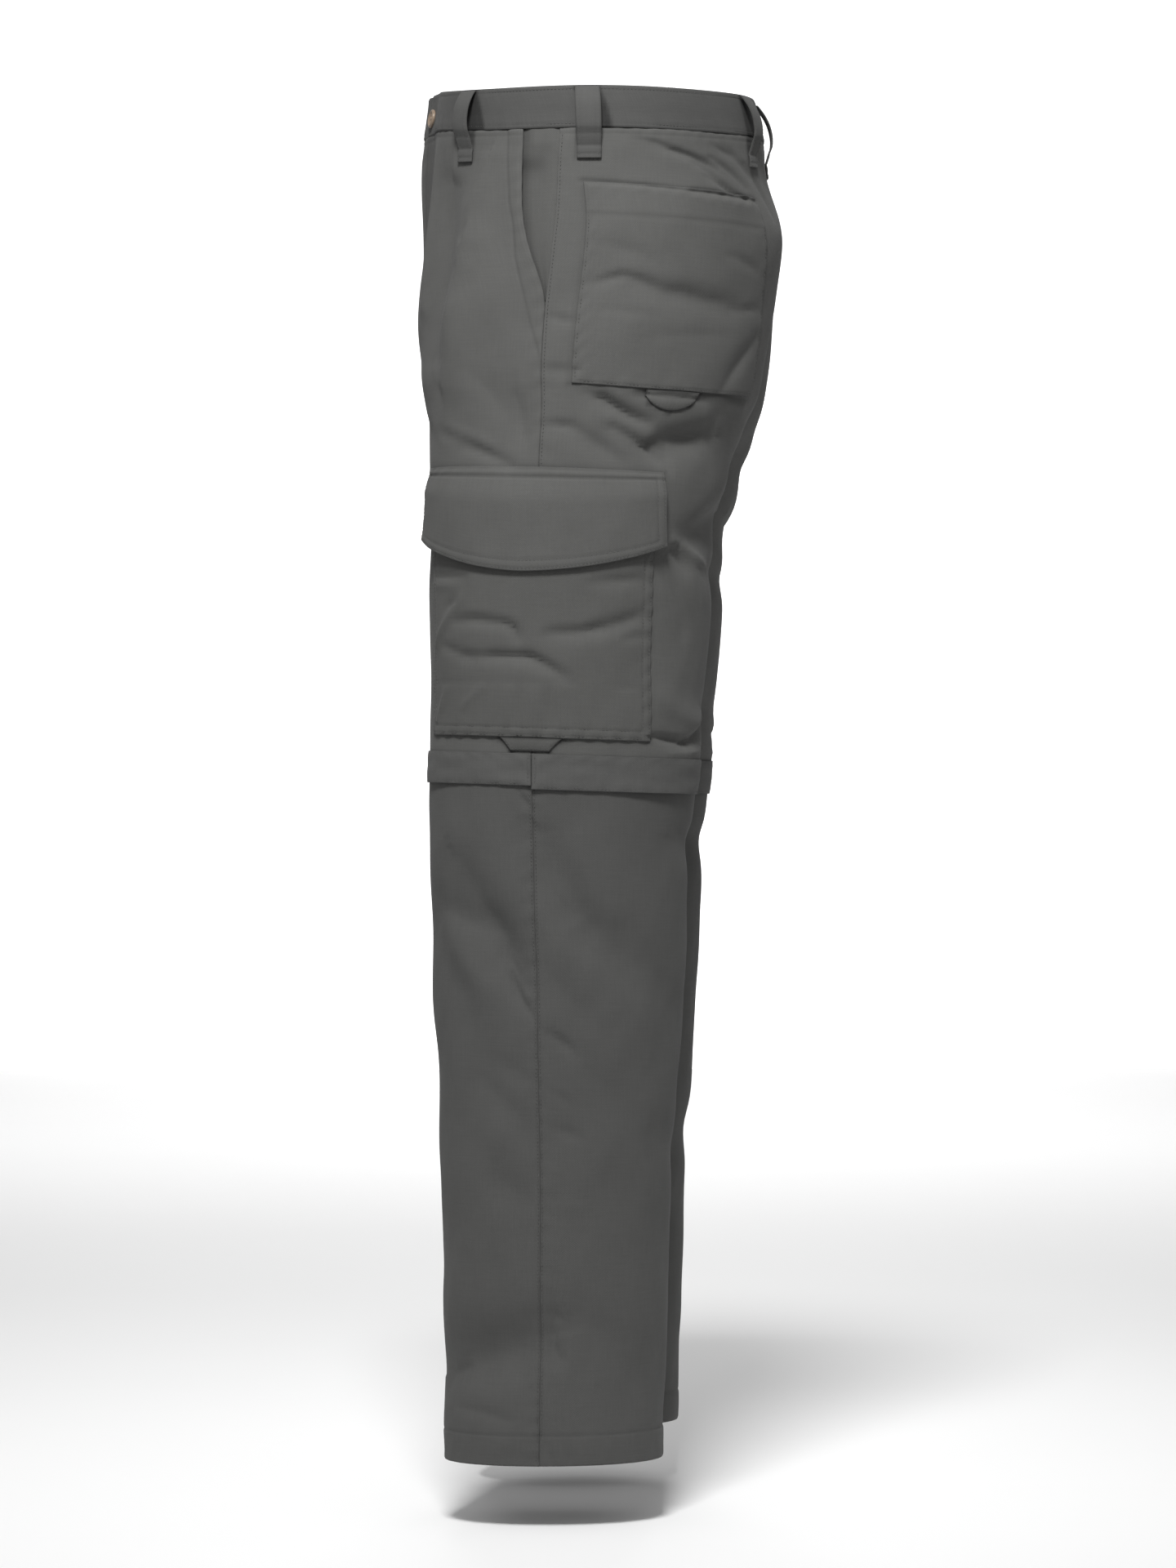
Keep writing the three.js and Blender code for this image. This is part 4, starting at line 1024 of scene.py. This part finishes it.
def makeCamera():
    turn = radians(cameraSet["toFront"])
    reach = cameraSet["distance"] * metre
    data = bpy.data.cameras.new("sideView")
    data.sensor_fit = "AUTO"
    data.sensor_width = cameraSet["sensor"]
    data.lens = cameraSet["focalPixels"] / cameraSet["imageTall"] * cameraSet["sensor"]
    data.clip_end = 100
    camera = bpy.data.objects.new("sideView", data)
    camera.location = (reach * np.cos(turn), -reach * np.sin(turn), cameraSet["height"] * metre)
    camera.rotation_euler = (pi / 2, 0, pi / 2 - turn)
    bpy.context.collection.objects.link(camera)
    bpy.context.scene.camera = camera


# soft boxes round the garment: where each stands, its size and its power
lamps = {
    "key": {"at": (2.1, -0.3, 2.1), "size": 0.7, "watts": 15.2, "spread": 60},
    "fill": {"at": (3.4, -0.6, 1.3), "size": 1.6, "watts": 1.0, "spread": 60},
    "back": {"at": (-3.2, 0.1, 1.6), "size": 1.6, "watts": 6, "spread": 70},
    "wash": {"at": (-4.0, 0.2, 3.0), "size": 3.6, "watts": 30, "spread": 60},
}
worldLight = 0.38


def makeLight():
    for name, lamp in lamps.items():
        data = bpy.data.lights.new(name, "AREA")
        data.size = lamp["size"]
        data.energy = lamp["watts"]
        data.spread = radians(lamp["spread"])
        box = bpy.data.objects.new(name, data)
        at = np.array(lamp["at"])
        box.location = at
        aim = np.array([0, 0, -0.5]) - at
        if name == "wash":
            aim = np.array([0, 1e-6, -1])  # straight down on the floor behind
        box.rotation_euler = (np.arctan2(np.hypot(aim[0], aim[1]), -aim[2]), 0, np.arctan2(aim[1], aim[0]) - pi / 2)
        bpy.context.collection.objects.link(box)
    world = bpy.data.worlds.new("studio")
    world.use_nodes = True
    world.node_tree.nodes["Background"].inputs["Color"].default_value = (1, 1, 1, 1)
    world.node_tree.nodes["Background"].inputs["Strength"].default_value = worldLight
    bpy.context.scene.view_settings.view_transform = "Standard"
    bpy.context.scene.world = world


def addStage(name, corners, material):
    mesh = bpy.data.meshes.new(name)
    mesh.from_pydata(corners, [], [(0, 1, 2, 3)])
    mesh.materials.append(material)
    sheet = bpy.data.objects.new(name, mesh)
    bpy.context.collection.objects.link(sheet)


# in metres
studio = {"floorHalf": 30, "floorDrop": 0.05, "screenAt": -6, "screenFrom": -1.6, "screenTo": 2.0, "screenTop": 1.5}


def makeFloor():
    # pale floor a hand below the hems, because the garment hangs from the waist
    half, level = studio["floorHalf"], leg["hem"] * metre - studio["floorDrop"]
    addStage("floor", [(-half, -half, level), (half, -half, level), (half, half, level), (-half, half, level)],
             plainMaterial("paleFloor", (0.85, 0.85, 0.85), 0.95, 2, 0.0002, 0.01, 0))
    # lit white screen far behind, as wide as the camera sees
    glow, _, shader, _ = newMaterial("screenGlow")
    shader.inputs["Emission Color"].default_value = (1, 1, 1, 1)
    shader.inputs["Emission Strength"].default_value = 1.0
    x, y, farY, top = studio["screenAt"], studio["screenFrom"], studio["screenTo"], studio["screenTop"]
    addStage("screen", [(x, y, level), (x, farY, level), (x, farY, top), (x, y, top)], glow)


makeCamera()
print("stage: camera set")

looks = {name: twillMaterial("twill_" + name, look["colour"], look["roughness"]) for name, look in clothLook.items()}
threadLook = plainMaterial("thread", (0.062, 0.062, 0.06), 0.7, 900, 0.0001)
tapeLook = plainMaterial("zipTape", (0.03, 0.03, 0.031), 0.85, 700, 0.0002)
buttonLook = plainMaterial("horn", (0.2, 0.15, 0.11), 0.36, 160, 0.0001, 0.55)

for name, side in sides.items():
    makeWaistband(name, side, looks["band"])
    for where, angle in loop["places"].items():
        makeLoop(f"{where}_{name}", side, angle, looks["band"])
    for isFront, word in ((True, "front"), (False, "back")):
        makePanel(f"{word}_{name}", side, isFront, waist["foot"] - cloth["gap"] / 2, leg["upperEnd"], looks["twill"])
        makePanel(f"lower_{word}_{name}", side, isFront, leg["lowerStart"], leg["hem"], looks["lower"])
        layPatch(f"zip_cover_{word}_{name}", side, zipCoverSpot(isFront), zipBand["size"], (150, 16), cloth["cover"],
                 looks["band"], zipBand["rows"], wave=0.2, seed=3 + side)
    layPatch("pocket_facing_" + name, side, facingSpot, facing["size"], (30, 60), cloth["patch"], looks["pocket"],
             wave=0.1, extra=facingShade)
    layPatch("back_pocket_" + name, side, backPocketSpot, backPocket["size"], (84, 88), cloth["patch"], looks["twill"],
             backPocket["rows"], seed=2 + side, extra=backPocketHem)
    layPatch("back_tab_" + name, side, backTabSpot, backTab["size"], (30, 14), cloth["patch"], looks["twill"],
             backTab["rows"], wave=0.1)
    layPatch("cargo_pocket_" + name, side, cargoSpot, cargo["size"], (100, 100), cloth["patch"], looks["pocket"],
             cargo["rows"], wave=0.4, seed=4 + side)
    layPatch("cargo_flap_" + name, side, flapSpot, flap["size"], (110, 48), cloth["flap"], looks["twill"],
             flap["rows"], wave=0.16, seed=6 + side, extra=flapHead)
    layPatch("cargo_tab_" + name, side, cargoTabSpot, cargoTab["size"], (30, 12), cloth["patch"], looks["pocket"],
             cargoTab["rows"], wave=0.1)
    makeZip(name, side, tapeLook)
    print("stage: sewn the", name, "side")

makeLoop("centre_back", 1, None, looks["band"])
makeFlyShield(looks["twill"])
makeButton(buttonLook)
makeThreads(threadLook)
print("stage: loops, button and thread made")

makeLight()
makeFloor()
print("stage: studio set")
